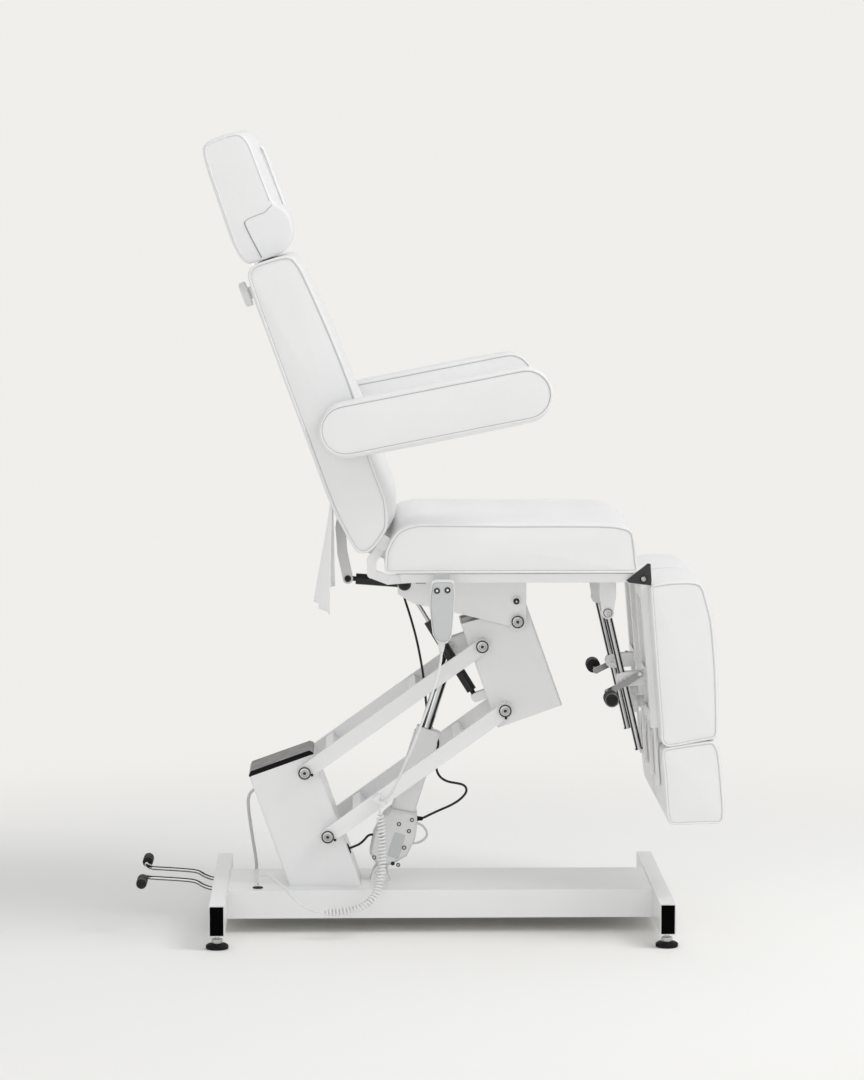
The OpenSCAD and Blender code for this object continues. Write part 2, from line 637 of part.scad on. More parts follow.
module on_seat() placed() at(seat_origin) children();
module seat_frame() on_seat() {
    color(white) {
        both_sides() {
            difference() {
                slab(plate_in, plate_in + plate_t) difference() {
                    union() {
                        polygon([[plate_back, 0], [plate_back, -plate_heel], [plate_back + plate_heel * 0.7, -plate_toe],
                            [plate_back / 2, -plate_rise + plate_front], [-plate_front, -plate_rise - plate_front * 0.5],
                            [plate_front, -plate_rise], [plate_front, 0]]);
                        translate([0, -plate_rise]) circle(r = plate_front + 2);
                    }
                    translate([0, -plate_rise]) circle(r = shaft_r + fit);
                }
                slab(plate_in - cut, plate_in + plate_t + cut) translate(tilt_stud + [2 * slot_len, 0.3 * slot_len])
                    strap([[-slot_len / 2, 0], [slot_len / 2, 0]], spring_pin_r * 2);
            }
            translate([rail_back, rail_y, 0]) cube([rail_front - rail_back, rail_w, rail_h]);
            slab(rail_y, rail_y + sweep_t) difference() {
                union() {
                    strap(scaled(sweep_shares, back_hinge[0], back_hinge[1]), sweep_w);
                    translate(back_hinge) circle(r = sweep_eye_r);
                }
                translate(back_hinge) circle(r = back_hinge_r + fit);
            }
            for (y = [leg_y - strut_gap - strut_cheek_t, leg_y + strut_gap]) slab(y, y + strut_cheek_t) {
                translate(strut_pivot) circle(d = strut_cheek_w / 1.3);
                polygon([strut_pivot + [-strut_cheek_w / 3, 0], strut_pivot + [strut_cheek_w / 3, 0],
                    strut_pivot + [strut_cheek_w / 2, strut_cheek_w], [strut_pivot[0] + strut_cheek_w / 2, 0],
                    [strut_pivot[0] - strut_cheek_w / 2, 0], strut_pivot + [-strut_cheek_w / 2, strut_cheek_w]]);
            }
            for (y = [rail_y + rail_w - leg_ear_t, leg_sleeve_in - side_gap - leg_ear_t]) slab(y, y + leg_ear_t)
                strap([[rail_front - rail_h, rail_h / 2], leg_hinge], 2 * leg_ear_r - 2);
            translate([rail_front - 2 * rail_h, leg_sleeve_in - side_gap - leg_ear_t, 0])
                cube([2 * rail_h, leg_ear_t, rail_h]);
        }
        for (s = tie_shares) translate([s > 0 ? s * rail_front : -s * rail_back, -rail_y, 0])
            cube([rail_h, 2 * rail_y, rail_h]);
        translate([rail_front - 2 * rail_h, -rail_y, 0]) cube([rail_h, 2 * rail_y, rail_h]);
    }
    color(steel) both_sides() {
        pin(strut_pivot, strut_pin_r, leg_y - strut_gap - strut_cheek_t, leg_y + strut_gap + strut_cheek_t);
        screw_head(strut_pivot, strut_pin_r + head_rim, leg_y + strut_gap + strut_cheek_t);
        pin(leg_hinge, leg_shaft_r, leg_sleeve_in - side_gap - leg_ear_t, rail_y + rail_w);
        screw_head(recline_stud, stud_r, plate_in + plate_t);
    }
    color(black) both_sides() screw_head(tilt_stud, stud_r, plate_in + plate_t);
    color(steel) pin(tilt_stud, spring_pin_r, -plate_in - plate_t, clevis_y + 2 * spring_eye_t);
}
leg_sleeve_in = 24;

cap_shares = [[0.1, 0.1], [0.2, 0], [0.98, -0.14], [1, 0.08], [0.96, 0.9], [0.86, 0.92]];
cap_w = 54;
cap_h = 40;
cap_t = 5;
module rail_end_caps() on_seat() color(black) both_sides()
    translate([rail_front - cap_w * 0.6, 0, 0]) slab(rail_y + rail_w + seat_gap, rail_y + rail_w + seat_gap + cap_t)
        polygon(scaled(cap_shares, cap_w, cap_h));

seat_pad_x = -263.5;
seat_pad_z = rail_h + 3;
seat_shares = [[0, 0.04], [0.02, 0], [0.98, 0], [1, 0.04], [0.995, 0.3], [0.99, 0.56], [0.975, 0.88], [0.9, 1],
    [0.7, 1.02], [0.5, 1.02], [0.3, 1.03], [0.125, 1.03], [0.06, 0.92], [0.03, 0.76], [0.005, 0.5], [0, 0.34]];
module seat_cushion() on_seat() color(white) difference() {
    at([seat_pad_x, seat_pad_z])
        pad(scaled(seat_shares, seat_len, seat_t), seat_w / 2, crown, [0, 1], pad_y_shares, crown / 3);
    both_sides() translate([seat_pad_x - cut, rail_y - notch_room, back_hinge[1] - sweep_eye_r - notch_room])
        cube([back_hinge[0] - seat_pad_x + sweep_eye_r + cut + notch_room / 2,
            sweep_t + ear_t + cut + 2 * notch_room, 2 * (sweep_eye_r + notch_room)]);
}
notch_room = 4;

// Gas springs under the seat: each is a barrel on one pivot with a rod that slides out of it
tilt_top = seat_origin + tilt_stud;
tilt_line = tilt_top - clevis_pivot;
tilt_len = norm(tilt_line);
tilt_lean = atan2(tilt_line[1], tilt_line[0]) - 90;
tilt_barrel_r = 10;
tilt_rod_r = 4;
tilt_barrel_share = 0.66;
spring_eye_r = 8.5;
spring_eye_t = 5;
barrel_start = 16;

module spring_barrel(len_total, r, share, pin_r) color(black) difference() {
    union() {
        pin([0, 0], spring_eye_r, -spring_eye_t, spring_eye_t);
        cylinder(h = barrel_start + cut, r = spring_eye_t - seat_gap);
        translate([0, 0, barrel_start]) cylinder(h = len_total * share - barrel_start, r = r);
    }
    pin([0, 0], pin_r, -spring_eye_t - cut, spring_eye_t + cut);
    translate([0, 0, barrel_start + spring_eye_t]) cylinder(h = len_total, r = tilt_rod_r + fit);
}
module spring_rod(len_total, share, rod_in_barrel, eye_hole) color(steel) difference() {
    union() {
        translate([0, 0, len_total * share - rod_in_barrel])
            cylinder(h = len_total * (1 - share) + rod_in_barrel - spring_eye_r / 2, r = tilt_rod_r);
        if (eye_hole > 0) pin([0, len_total], spring_eye_r, -spring_eye_t, spring_eye_t);
    }
    if (eye_hole > 0) pin([0, len_total], eye_hole, -spring_eye_t - cut, spring_eye_t + cut);
}
module on_tilt_spring() placed() at(clevis_pivot, clevis_y) turn(tilt_lean) children();
module tilt_spring_barrel() on_tilt_spring()
    spring_barrel(tilt_len, tilt_barrel_r, tilt_barrel_share, spring_pin_r + fit);
module tilt_spring_rod() on_tilt_spring()
    spring_rod(tilt_len, tilt_barrel_share, 2 * spring_eye_r, spring_pin_r + spring_slack);

// Back: a frame on two hinge stubs, with lever cheeks down to the recline spring
hinge_point = seat_origin + back_hinge;
ear_in = rail_y + sweep_t + 1;
ear_t = 8;
lever_at = [-98.5, -66.1];
lever_pivot = hinge_point + turned(lever_at, back_lean);
lever_y = 26;
lever_gap = 7;
lever_t = 6;
lever_w = 20;
lever_shares = [[0.78, -0.5], [0.92, 0.21], [1, 1]];
frame_tube = 20;
frame_n = -64;
frame_s = 66;
frame_top = 564;
frame_half = 200;
rod_seat_y = lever_y;
recess_half = 225;
recess_t = 20;
ear_foot = 76;

module on_back() placed() at(hinge_point) turn(back_lean) children();
module back_frame() on_back() color(white) {
    both_sides() slab(ear_in, ear_in + ear_t)
        strap([[0, 0], [frame_n + frame_tube / 2, ear_foot]], 2 * sweep_eye_r);
    both_sides() pin([0, 0], back_hinge_r, rail_y - 1, ear_in + ear_t);
    both_sides() translate([frame_n, frame_half - frame_tube, frame_s]) cube([frame_tube, frame_tube, frame_top - frame_s]);
    translate([frame_n, -ear_in - ear_t, frame_s]) cube([frame_tube, 2 * (ear_in + ear_t), frame_tube]);
    for (y = [lever_y - lever_gap - lever_t, lever_y + lever_gap]) slab(y, y + lever_t)
        strap(concat([[frame_n + frame_tube / 2, frame_s + frame_tube / 2]],
            [for (s = lever_shares) [s[0] * lever_at[0], s[1] * lever_at[1]]]), lever_w);
    pin(lever_at, spring_pin_r, lever_y - lever_gap - lever_t, lever_y + lever_gap + lever_t);
    guide_half = tongue_w / 2 + tongue_t;
    difference() {
        union() {
            translate([frame_n, -frame_half, frame_top - frame_tube]) cube([frame_tube, 2 * frame_half, frame_tube]);
            translate([frame_n, -guide_half, frame_top - guide_len]) cube([frame_tube, 2 * guide_half, guide_len]);
        }
        translate([frame_n + frame_tube / 2 - tongue_t / 2 - fit, -tongue_w / 2 - fit, frame_top - guide_len - cut])
            cube([tongue_t + 2 * fit, tongue_w + 2 * fit, guide_len + 2 * cut]);
        translate([frame_n - cut, 0, frame_top - guide_len / 2]) rotate([0, 90, 0])
            cylinder(h = frame_tube / 2, r = knob_stem_r + fit);
    }
    both_sides() slab(bush_in, seat_w / 2 - seat_gap) translate(armrest_at) difference() {
        circle(r = armrest_pin_r + bush_t);
        circle(r = armrest_pin_r + fit);
    }
}
bush_t = 4;
bush_in = seat_w / 2 - 42;
guide_len = 60;

back_shares = [[-0.676, 0.17], [-0.526, 0.01], [-0.35, 0.01], [0.146, 0.053], [0.25, 0.085], [0.34, 0.128],
    [0.341, 0.284], [0.47, 0.48], [0.46, 0.7], [0.373, 0.931], [0.28, 0.985], [0.094, 1], [-0.426, 1.005],
    [-0.58, 0.995], [-0.646, 0.97], [-0.678, 0.6]];
notch_in = rail_y - 10;
notch_out = ear_in + ear_t + 2;
notch_n = 24;
notch_s = 44;
module back_cushion() on_back() color(white) difference() {
    pad(scaled(back_shares, back_t, back_len), seat_w / 2, back_crown, [1, 0], pad_y_shares, 0);
    both_sides() translate([-back_t, notch_in, -back_t]) cube([back_t + notch_n, notch_out - notch_in, back_t + notch_s]);
    translate([frame_n - back_t, -recess_half, -back_t])
        cube([back_t + frame_tube + side_gap, 2 * recess_half, back_t + frame_top + 2 * side_gap]);
    translate([frame_n - back_t, -ear_in - ear_t - side_gap, -back_t])
        cube([back_t + frame_tube + side_gap, 2 * (ear_in + ear_t + side_gap), back_t + frame_s + frame_tube + side_gap]);
    translate([frame_n + frame_tube / 2 - tongue_t / 2 - side_gap, -tongue_w / 2 - side_gap, frame_top])
        cube([tongue_t + 2 * side_gap, tongue_w + 2 * side_gap, back_len]);
    both_sides() {
        translate([-back_t, ear_in - side_gap, -back_t]) cube([back_t + ear_room_n, ear_t + 2 * side_gap,
            back_t + frame_s + frame_tube + ear_room_s]);
        pin(armrest_at, armrest_pin_r + bush_t + seat_gap, bush_in - seat_gap, seat_w / 2 + cut);
    }
}
ear_room_n = -13;
ear_room_s = 8;
panel_t = 3;
module back_panel() on_back() color(white) difference() {
    translate([frame_n - side_gap - panel_t, -recess_half + 1, frame_s + frame_tube + panel_t])
        cube([panel_t, 2 * recess_half - 2, frame_top - frame_s - frame_tube - panel_t]);
    translate([frame_n - back_t, 0, frame_top - guide_len / 2]) rotate([0, 90, 0]) cylinder(h = 2 * back_t, r = knob_stem_r + 1);
}

// Recline spring from the back's lever to a stud on the seat's side plates
spring_aim = 10;
recline_end = seat_origin + recline_stud + [0, spring_aim];
recline_line = recline_end - lever_pivot;
recline_len = norm(recline_line);
recline_lean = atan2(recline_line[1], recline_line[0]) - 90;
recline_r = 11;
recline_share = 0.53;
module on_recline_spring() placed() at(lever_pivot, lever_y) turn(recline_lean) children();
module recline_spring_barrel() on_recline_spring()
    spring_barrel(recline_len, recline_r, recline_share, spring_pin_r + fit);
module recline_spring_rod() on_recline_spring() spring_rod(recline_len, recline_share, 2 * spring_eye_r, 0);

// Apron that hangs behind the back's lower end, from the hinge line down
apron_t = 3;
apron_half = 282;
apron_x = -213.3;
apron_top = 856;
apron_drop = 208;
apron_rows = 5;
apron_cols = 20;
apron_folds = 4.5;
apron_wave = 5;
apron_flare = 24;
function apron_skin(u, v) = let (y = (u * 2 - 1) * apron_half)
    [apron_x - apron_flare * (1 - pow(2 * u - 1, 2)) * v - apron_wave * v * cos(360 * apron_folds * u), y,
        apron_top - apron_drop * v];
module apron() placed() color(white) {
    ring = [for (j = [0:apron_rows]) let (v = j / apron_rows)
        concat([for (i = [0:apron_cols]) apron_skin(i / apron_cols, v)],
            [for (i = [apron_cols:-1:0]) apron_skin(i / apron_cols, v) + [apron_t, 0, 0]])];
    skinned_sheet(ring, apron_cols);
    pin([apron_x + apron_t / 2, apron_top], apron_t * knuckle_share / 2, -apron_half, apron_half);
}
// Solid through flat rings that fold back on themselves, with strips closing the two ends
module skinned_sheet(rings, cols) {
    n = len(rings[0]);
    m = len(rings);
    last = (m - 1) * n;
    polyhedron(
        points = [for (r = rings) each r],
        faces = concat(
            [for (j = [0:m - 2], i = [0:n - 1]) let (k = (i + 1) % n)
                each [[j * n + k, j * n + i, (j + 1) * n + i], [j * n + k, (j + 1) * n + i, (j + 1) * n + k]]],
            [for (i = [0:cols - 1]) each [[i, i + 1, n - 1 - i], [i + 1, n - 2 - i, n - 1 - i]]],
            [for (i = [0:cols - 1]) each [[last + i, last + n - 1 - i, last + i + 1],
                [last + i + 1, last + n - 1 - i, last + n - 2 - i]]]));
}

// Headrest on a flat tongue that slides in the back's guide and is held by a knob behind
tongue_w = 40;
tongue_t = 8;
tongue_down = 190;
tongue_up = 130;
head_gap = 2;
knob_stem_r = 4;
knob_r = 25;
knob_t = 15;
knob_reach = 14;
head_s = back_len + 5;
head_n = -72;
head_shares = [[0.46, 0], [0.92, 0], [1.2, 0.08], [1.34, 0.24], [1.28, 0.5], [1.27, 0.82], [1.13, 0.93],
    [1, 0.98], [0.6, 1.01], [0.22, 1], [0.06, 0.95], [0.02, 0.5], [0, 0.17], [0.05, 0.06], [0.2, 0]];
module headrest_frame() on_back() color(steel) {
    translate([frame_n + frame_tube / 2 - tongue_t / 2, -tongue_w / 2, head_s - tongue_down])
        cube([tongue_t, tongue_w, tongue_down + tongue_up]);
    translate([frame_n + frame_tube / 2 - tongue_t / 2, -head_w / 4, head_s + tongue_up / 3])
        cube([tongue_t, head_w / 2, tongue_up * 2 / 3]);
}
module headrest_cushion() on_back() color(white) difference() {
    at([head_n, head_s]) pad(scaled(head_shares, head_t, head_len), head_w / 2, crown, [1, 0], slim_y_shares, 0);
    translate([frame_n + frame_tube / 2 - tongue_t / 2 - side_gap, -tongue_w / 2 - side_gap, head_s - tongue_up])
        cube([tongue_t + 2 * side_gap, tongue_w + 2 * side_gap, 2 * tongue_up + side_gap]);
    translate([frame_n + frame_tube / 2 - tongue_t / 2 - side_gap, -head_w / 4 - side_gap,
        head_s + tongue_up / 3 - side_gap])
        cube([tongue_t + 2 * side_gap, head_w / 2 + 2 * side_gap, tongue_up * 2 / 3 + 2 * side_gap]);
    at([head_pad_n, head_s + head_pad_s]) translate([-head_pad_t, -head_pad_half, 0])
        cube([head_t, 2 * head_pad_half, head_pad_len]);
}
head_pad_n = 42;
head_pad_s = 46;
head_pad_t = 10;
head_pad_half = 84;
head_pad_len = 166;
head_pad_rise = 10;
head_pad_room = 1.5;
pad_edge_share = 0.12;
module headrest_pads() on_back() color(white) at([head_pad_n - head_pad_t + side_gap, head_s + head_pad_s + head_pad_room]) {
    h = head_pad_len - 2 * head_pad_room;
    t = head_pad_t + head_pad_rise;
    pad([[0, 0], [t * 0.7, 0], [t, h * pad_edge_share], [t, h / 2], [t, h * (1 - pad_edge_share)], [t * 0.7, h], [0, h],
        [0, h / 2]], head_pad_half - side_gap, 2, [1, 0], slim_y_shares, 0);
}
module head_knob() on_back() {
    translate([frame_n - side_gap - panel_t - side_gap, 0, frame_top - guide_len / 2]) rotate([0, -90, 0]) {
        color(white) translate([0, 0, knob_reach]) rotate_extrude() polygon([[0, 0], [knob_r - 2, 0], [knob_r, 2],
            [knob_r, knob_t - 3], [knob_r - 3, knob_t], [0, knob_t]]);
        color(white) cylinder(h = knob_reach, r1 = knob_r / 3, r2 = knob_r / 2);
        color(steel) translate([0, 0, -knob_reach / 2]) cylinder(h = knob_reach / 2 + cut, r = knob_stem_r);
    }
}

// Armrests: round-ended pads on a pivot bush in the side of the back
armrest_pivot_n = -43 + armrest_h / 2 - 1;
armrest_at = [8.9, 235.7];
armrest_in = seat_w / 2 + 20;
armrest_pin_r = 12;
armrest_pin_in = 40;
arc_steps = 8;
module armrest(side) on_back() at(armrest_at) {
    tilt = armrest_rise - back_lean;
    r = armrest_h / 2;
    outline = concat(
        [for (i = [0:arc_steps]) let (a = 90 + 180 * i / arc_steps) [r * cos(a), r * sin(a)]],
        [for (i = [0:arc_steps]) let (a = -90 + 180 * i / arc_steps) [armrest_len + r * cos(a), r * sin(a)]]);
    color(white) turn(tilt) translate([0, side * (armrest_in + armrest_w / 2), 0])
        pad(outline, armrest_w / 2, 0, [0, 1], slim_y_shares, 0);
    color(steel) pin([0, 0], armrest_pin_r, min(side * (seat_w / 2 - armrest_pin_in), side * (armrest_in + pad_round)),
        max(side * (seat_w / 2 - armrest_pin_in), side * (armrest_in + pad_round)));
}
module armrest_right() armrest(-1);
module armrest_left() armrest(1);

// Leg rests: a frame on a sleeve, a leg cushion, and a foot part that slides in the frame's tubes
leg_pivot = seat_origin + leg_hinge;
leg_rail_y = 70;
leg_rail_w = 30;
leg_rail_t = 14;
leg_rail_z = -3;
leg_wall = 1.5;
leg_frame_len = 296;
leg_tie_x = [34, 196, 276];
leg_tie_w = 24;
sleeve_r = 8.2;
clamp_at = [206.6, -45.5];
clamp_gap = 9;
clamp_t = 4;
clamp_r = 14;
lever_post = [197.6, -13];
leg_pad_z = leg_rail_z + leg_rail_t + side_gap;
leg_shares = [[0.02, 0.02], [0.05, 0], [0.9, 0], [0.965, 0], [1, 0.12], [0.985, 0.7], [0.97, 1.04], [0.93, 1.1],
    [0.6, 1.16], [0.285, 1.155], [0.15, 1.09], [0.035, 0.97], [0.01, 0.5]];
foot_shares = [[0, 0.12], [0.03, 0], [0.82, 0], [0.95, 0.07], [0.97, 0.6], [0.98, 1.03], [0.88, 1.11], [0.5, 1.12],
    [0.13, 1.1], [0, 1.04], [-0.035, 0.95]];
foot_x = 329;
slide_in = 150;
knob_at = 262;

module on_leg(side) placed() at(leg_pivot, side * leg_y) turn(-leg_drop) children();
module leg_frame(side) on_leg(side) color(white) {
    difference() {
        union() {
            for (s = [-1, 1]) difference() {
                translate([0, s * leg_rail_y - leg_rail_w / 2, leg_rail_z]) cube([leg_frame_len, leg_rail_w, leg_rail_t]);
                translate([leg_tie_x[0], s * leg_rail_y - leg_rail_w / 2 + leg_wall, leg_rail_z + leg_wall])
                    cube([leg_frame_len, leg_rail_w - 2 * leg_wall, leg_rail_t - 2 * leg_wall]);
            }
            for (x = leg_tie_x) translate([x - leg_tie_w / 2, -leg_rail_y, leg_rail_z])
                cube([leg_tie_w, 2 * leg_rail_y, leg_wall]);
            pin([0, 0], sleeve_r, -sleeve_half, sleeve_half);
        }
        pin([0, 0], leg_shaft_r + fit, -leg_y, leg_y);
    }
    for (y = [-clamp_gap - clamp_t, clamp_gap]) slab(y, y + clamp_t) {
        translate(clamp_at) circle(r = clamp_r);
        translate([clamp_at[0] - clamp_r, clamp_at[1]]) square([2 * clamp_r, leg_rail_z - clamp_at[1]]);
    }
    both_sides() screw_head(clamp_at, clamp_r / 2, clamp_gap + clamp_t);
    pin(lever_post, spring_pin_r, min(side * clamp_gap, side * (lever_plate_y + lever_plate_t)),
        max(side * clamp_gap, side * (lever_plate_y + lever_plate_t)));
}
sleeve_half = 112;
module leg_frame_right() leg_frame(-1);
module leg_frame_left() leg_frame(1);

module leg_cushion(side) on_leg(side) color(white) at([8, leg_pad_z])
    pad(scaled(leg_shares, leg_len, leg_t), leg_w / 2, crown, [0, 1], slim_y_shares, 0);
module leg_cushion_right() leg_cushion(-1);
module leg_cushion_left() leg_cushion(1);

module foot_slide(side) on_leg(side) {
    gap = leg_wall + fit;
    color(steel) for (s = [-1, 1]) translate([leg_frame_len - slide_in, s * leg_rail_y - leg_rail_w / 2 + gap,
        leg_rail_z + gap]) cube([foot_x + foot_len / 2 - leg_frame_len + slide_in, leg_rail_w - 2 * gap,
        leg_rail_t - 2 * gap]);
    color(white) translate([foot_x + foot_len / 2 - leg_tie_w, -leg_rail_y, leg_rail_z + gap])
        cube([leg_tie_w, 2 * leg_rail_y, leg_rail_t - 2 * gap]);
}
module foot_slide_right() foot_slide(-1);
module foot_slide_left() foot_slide(1);
module foot_cushion(side) on_leg(side) color(white) at([foot_x, leg_pad_z])
    pad(scaled(foot_shares, foot_len, leg_t), leg_w / 2, crown, [0, 1], slim_y_shares, 0);
module foot_cushion_right() foot_cushion(-1);
module foot_cushion_left() foot_cushion(1);

strut_top = seat_origin + strut_pivot;
strut_len = 277.5;
strut_lean = 13.25;
strut_bulb = 1.5;
module strut(side) placed() at(strut_top, side * leg_y) turn(strut_lean) color(steel) difference() {
    union() {
        pin([0, 0], strut_r + 2, -strut_gap + side_gap, strut_gap - side_gap);
        translate([0, 0, -strut_len]) cylinder(h = strut_len - strut_r, r = strut_r);
        translate([0, 0, -strut_len]) cylinder(h = 2 * strut_bulb, r = strut_r + strut_bulb);
    }
    pin([0, 0], strut_pin_r + fit, -2 * strut_gap, 2 * strut_gap);
}
module strut_right() strut(-1);
module strut_left() strut(1);

// Release levers: a grip on an arm that tips about a stud on the clamp cheeks
grip_at = [227.5, -78.2];
lever_r = 5;
lever_grip_r = 13;
lever_reach = 100;
lever_grip_len = 44;
lever_eye_r = 9;
lever_plate_t = 4;
lever_plate_y = clamp_gap + clamp_t + head_rim + head_top + side_gap;
module release_lever(side) on_leg(side) {
    y0 = lever_plate_y;
    yo = side * (y0 + lever_plate_t / 2);
    color(steel) {
        slab(min(side * y0, side * (y0 + lever_plate_t)), max(side * y0, side * (y0 + lever_plate_t)))
            difference() {
                strap([lever_post, (lever_post + grip_at) / 2 + [0, lever_eye_r / 2], grip_at], 2 * lever_r + 2);
                translate(lever_post) circle(r = spring_pin_r + fit);
            }
        bar([grip_at[0], yo, grip_at[1]], [grip_at[0], side * lever_reach, grip_at[1]], lever_r);
    }
    color(black) pin(grip_at, lever_grip_r, min(side * lever_reach, side * (lever_reach + lever_grip_len)),
        max(side * lever_reach, side * (lever_reach + lever_grip_len)));
}
module release_lever_right() release_lever(-1);
module release_lever_left() release_lever(1);

leg_knob_r = 22;
leg_knob_t = 14;
leg_knob_y = leg_rail_y + leg_rail_w / 2;
module leg_knob(side) on_leg(side) color(white)
    translate([knob_at, -side * leg_rail_y, leg_rail_z - side_gap]) rotate([180, 0, 0]) {
        cylinder(h = leg_knob_t, r1 = leg_knob_r / 2, r2 = leg_knob_r / 2);
        translate([0, 0, leg_knob_t]) rotate_extrude() polygon([[0, 0], [leg_knob_r, 0], [leg_knob_r, leg_knob_t - 3],
            [leg_knob_r - 3, leg_knob_t], [0, leg_knob_t]]);
    }
module leg_knob_right() leg_knob(-1);
module leg_knob_left() leg_knob(1);

// Handset hung on the seat rail by a hook
hand_w = 50;
hand_h = 120;
hand_t = 26;
hand_at = [-180, -111];
hand_y = -rail_y - rail_w - 36;
hand_shares = [[0.1, 0.98], [0, 0.62], [0.14, 0.14], [0.3, 0.02], [0.68, 0], [0.86, 0.1], [0.99, 0.72],
    [0.96, 0.98], [0.88, 1], [0.2, 1]];
button_r = 6;
button_t = 2;
button_shares = [[0.3, 0.84], [0.7, 0.85]];
button_depth = 3;
hook_t = 4;
hook_w = 30;
module handset() on_seat() color(pale) {
    difference() {
        at(hand_at) slab(hand_y - hand_t / 2, hand_y + hand_t / 2) polygon(scaled(hand_shares, hand_w, hand_h));
        for (s = button_shares) pin(hand_at + [s[0] * hand_w, s[1] * hand_h], button_r + fit, hand_y - hand_t / 2 - cut,
            hand_y - hand_t / 2 + button_depth);
    }
    hook_x = hand_at[0] + hand_w / 2 - hook_w / 2;
    translate([hook_x, hand_y + hand_t / 2, -rail_h / 2]) cube([hook_w, -rail_y - rail_w - hand_y - hand_t / 2 - seat_gap,
        hook_t + rail_h / 2]);
    translate([hook_x, -rail_y - rail_w - seat_gap - hook_t, 0]) cube([hook_w, hook_t, rail_h + hook_t / 2]);
    translate([hook_x, -rail_y - rail_w - seat_gap - hook_t, rail_h + seat_gap]) cube([hook_w, rail_w / 2, hook_t / 2]);
    translate([hand_at[0] + hand_w * 0.48, hand_y, hand_at[1] - relief_h]) cylinder(h = relief_h + cut, r1 = relief_r, r2 = 2 * relief_r);
}
relief_h = 18;
relief_r = 4;
module hand_button(i) on_seat() color(black) pin(hand_at + [button_shares[i][0] * hand_w, button_shares[i][1] * hand_h],
    button_r - side_gap, hand_y - hand_t / 2 - button_t, hand_y - hand_t / 2 + button_depth - button_t);
module button_up() hand_button(0);
module button_down() hand_button(1);

// Cords. Routes are points chosen by hand, before the frame's shift along X
lead_r = 2.5;
curl_wire_r = 2;
curl_r = 6.3;
curl_count = 40;
curl_steps = 8;
hand_route = [[-3, -318, 580.7], [-4, -318, 560], [-20, -318, 500], [-45, -312, 430], [-72, -285, 360], [-94, -230, 300],
    [-108, -175, 274], [-116, -150, 268], [-118, -138, 268], [-118, -126.2, 268]];
curl_route = [[-119, -138, 242], [-117, -139, 215], [-114, -142, 160], [-118, -168, 100], [-145, -192, 68],
    [-185, -203, 57], [-229, -204, 57]];
tail_route = [[-243, -203, 58], [-262, -196, 62], [-285, -178, 76], [-305, -150, 94], [-322, -125, 106],
    [-338, -106, 114], [-352, -97, 114], [-359, -95, 106], [-360, -95, 92]];
mains_r = 3.25;
mains_route = [[-359.2, 50, 265], [-366, 50, 262.6], [-378, 56, 254], [-383, 66, 238], [-382, 82, 212], [-376, 104, 160],
    [-369, 122, 112], [-367, 131, 88], [-369, 142, 50], [-366, 160, 18], [-355, 190, 4], [-330, 225, 3.5],
    [-308, 250, 3.5], [-302.1, 265, 3.5], [-302.1, 278.5, 3.5]];
coil_mid = [-250, 285];
coil_turns = 7;
coil_steps = 24;
coil_in = 26.7;
coil_pitch = 7.8;
coil_rise = 8;
coil_z = 3.5;
coil_tail = 46;
plug_r = 11.4;
plug_len = 40;
plug_pin_r = 2.4;
plug_pin_len = 19;
plug_pin_y = 9.5;

// Point of a route at a share of its length
function cumulated(p) = [for (i = 0, s = 0; i < len(p); i = i + 1, s = s + (i < len(p) ? norm(p[i] - p[i - 1]) : 0)) s];
function found(c, s, i = 0) = i >= len(c) - 2 || c[i + 1] >= s ? i : found(c, s, i + 1);
function point_at(p, c, s) = let (i = found(c, s)) p[i] + (p[i + 1] - p[i]) * (s - c[i]) / (c[i + 1] - c[i]);
// Helix wound round a route, drawn in to the route over one turn at each end
function wound(route, turns, steps, r) = let (
    c = cumulated(route), whole = c[len(c) - 1], n = turns * steps,
    mids = [for (i = [0:n]) point_at(route, c, whole * i / n)],
    sides = sides_of(mids, [1, 0, 0]))
    [for (i = [0:n]) let (a = 360 * i / steps, u = sides[i], w = cross(along(mids, i), u),
        grow = min(1, i / steps, (n - i) / steps))
        mids[i] + r * grow * (u * cos(a) + w * sin(a))];
// Least distance between points of a wound route that are at least most of a turn apart
function least_gap(p, steps) = min([for (i = [steps:len(p) - 2 * steps]) min([for (j = [i + steps - 2:i + steps + 2])
    norm(p[i] - p[j])])]);
helix = wound(cut_corners(curl_route, 3), curl_count, curl_steps, curl_r);
curl_start = [[-119, -126.2, 255], [-119, -131, 255], [-119, -136, 253], [-119, -138, 248]];
echo(least_gap_between_curls = least_gap(helix, curl_steps) - 2 * curl_wire_r);
echo(hand_cord_lead_length = route_len(cut_corners(hand_route, 2)),
    curl_wire_length = route_len(concat(curl_start, helix, cut_corners(tail_route, 1))));

// Loops of a put-away lead: a spiral in, half a turn that climbs a layer, and a spiral out over the first
function coil_point(i, n) = let (
    a = i / coil_steps, way = (n / coil_steps - 0.5) / 2,
    r = coil_in + coil_pitch * max(0, way - a, a - way - 0.5),
    climb = min(1, max(0, (a - way) * 2)))
    [coil_mid[0] - r * cos(360 * a), coil_mid[1] + r * sin(360 * a), coil_z + climb * coil_rise];
coil_loops = [for (i = [0:coil_turns * coil_steps]) coil_point(i, coil_turns * coil_steps)];
coil_first = coil_loops[0];
coil_last = coil_loops[len(coil_loops) - 1];
coil_path = concat([coil_first - [0, 2 * mains_r, 0]], coil_loops, [coil_last + [0, coil_tail, 0]]);
echo(least_gap_between_loops = least_gap(coil_path, coil_steps) - 2 * mains_r);
echo(coil_length = route_len(coil_path), mains_lead_length = route_len(cut_corners(mains_route, 2)));

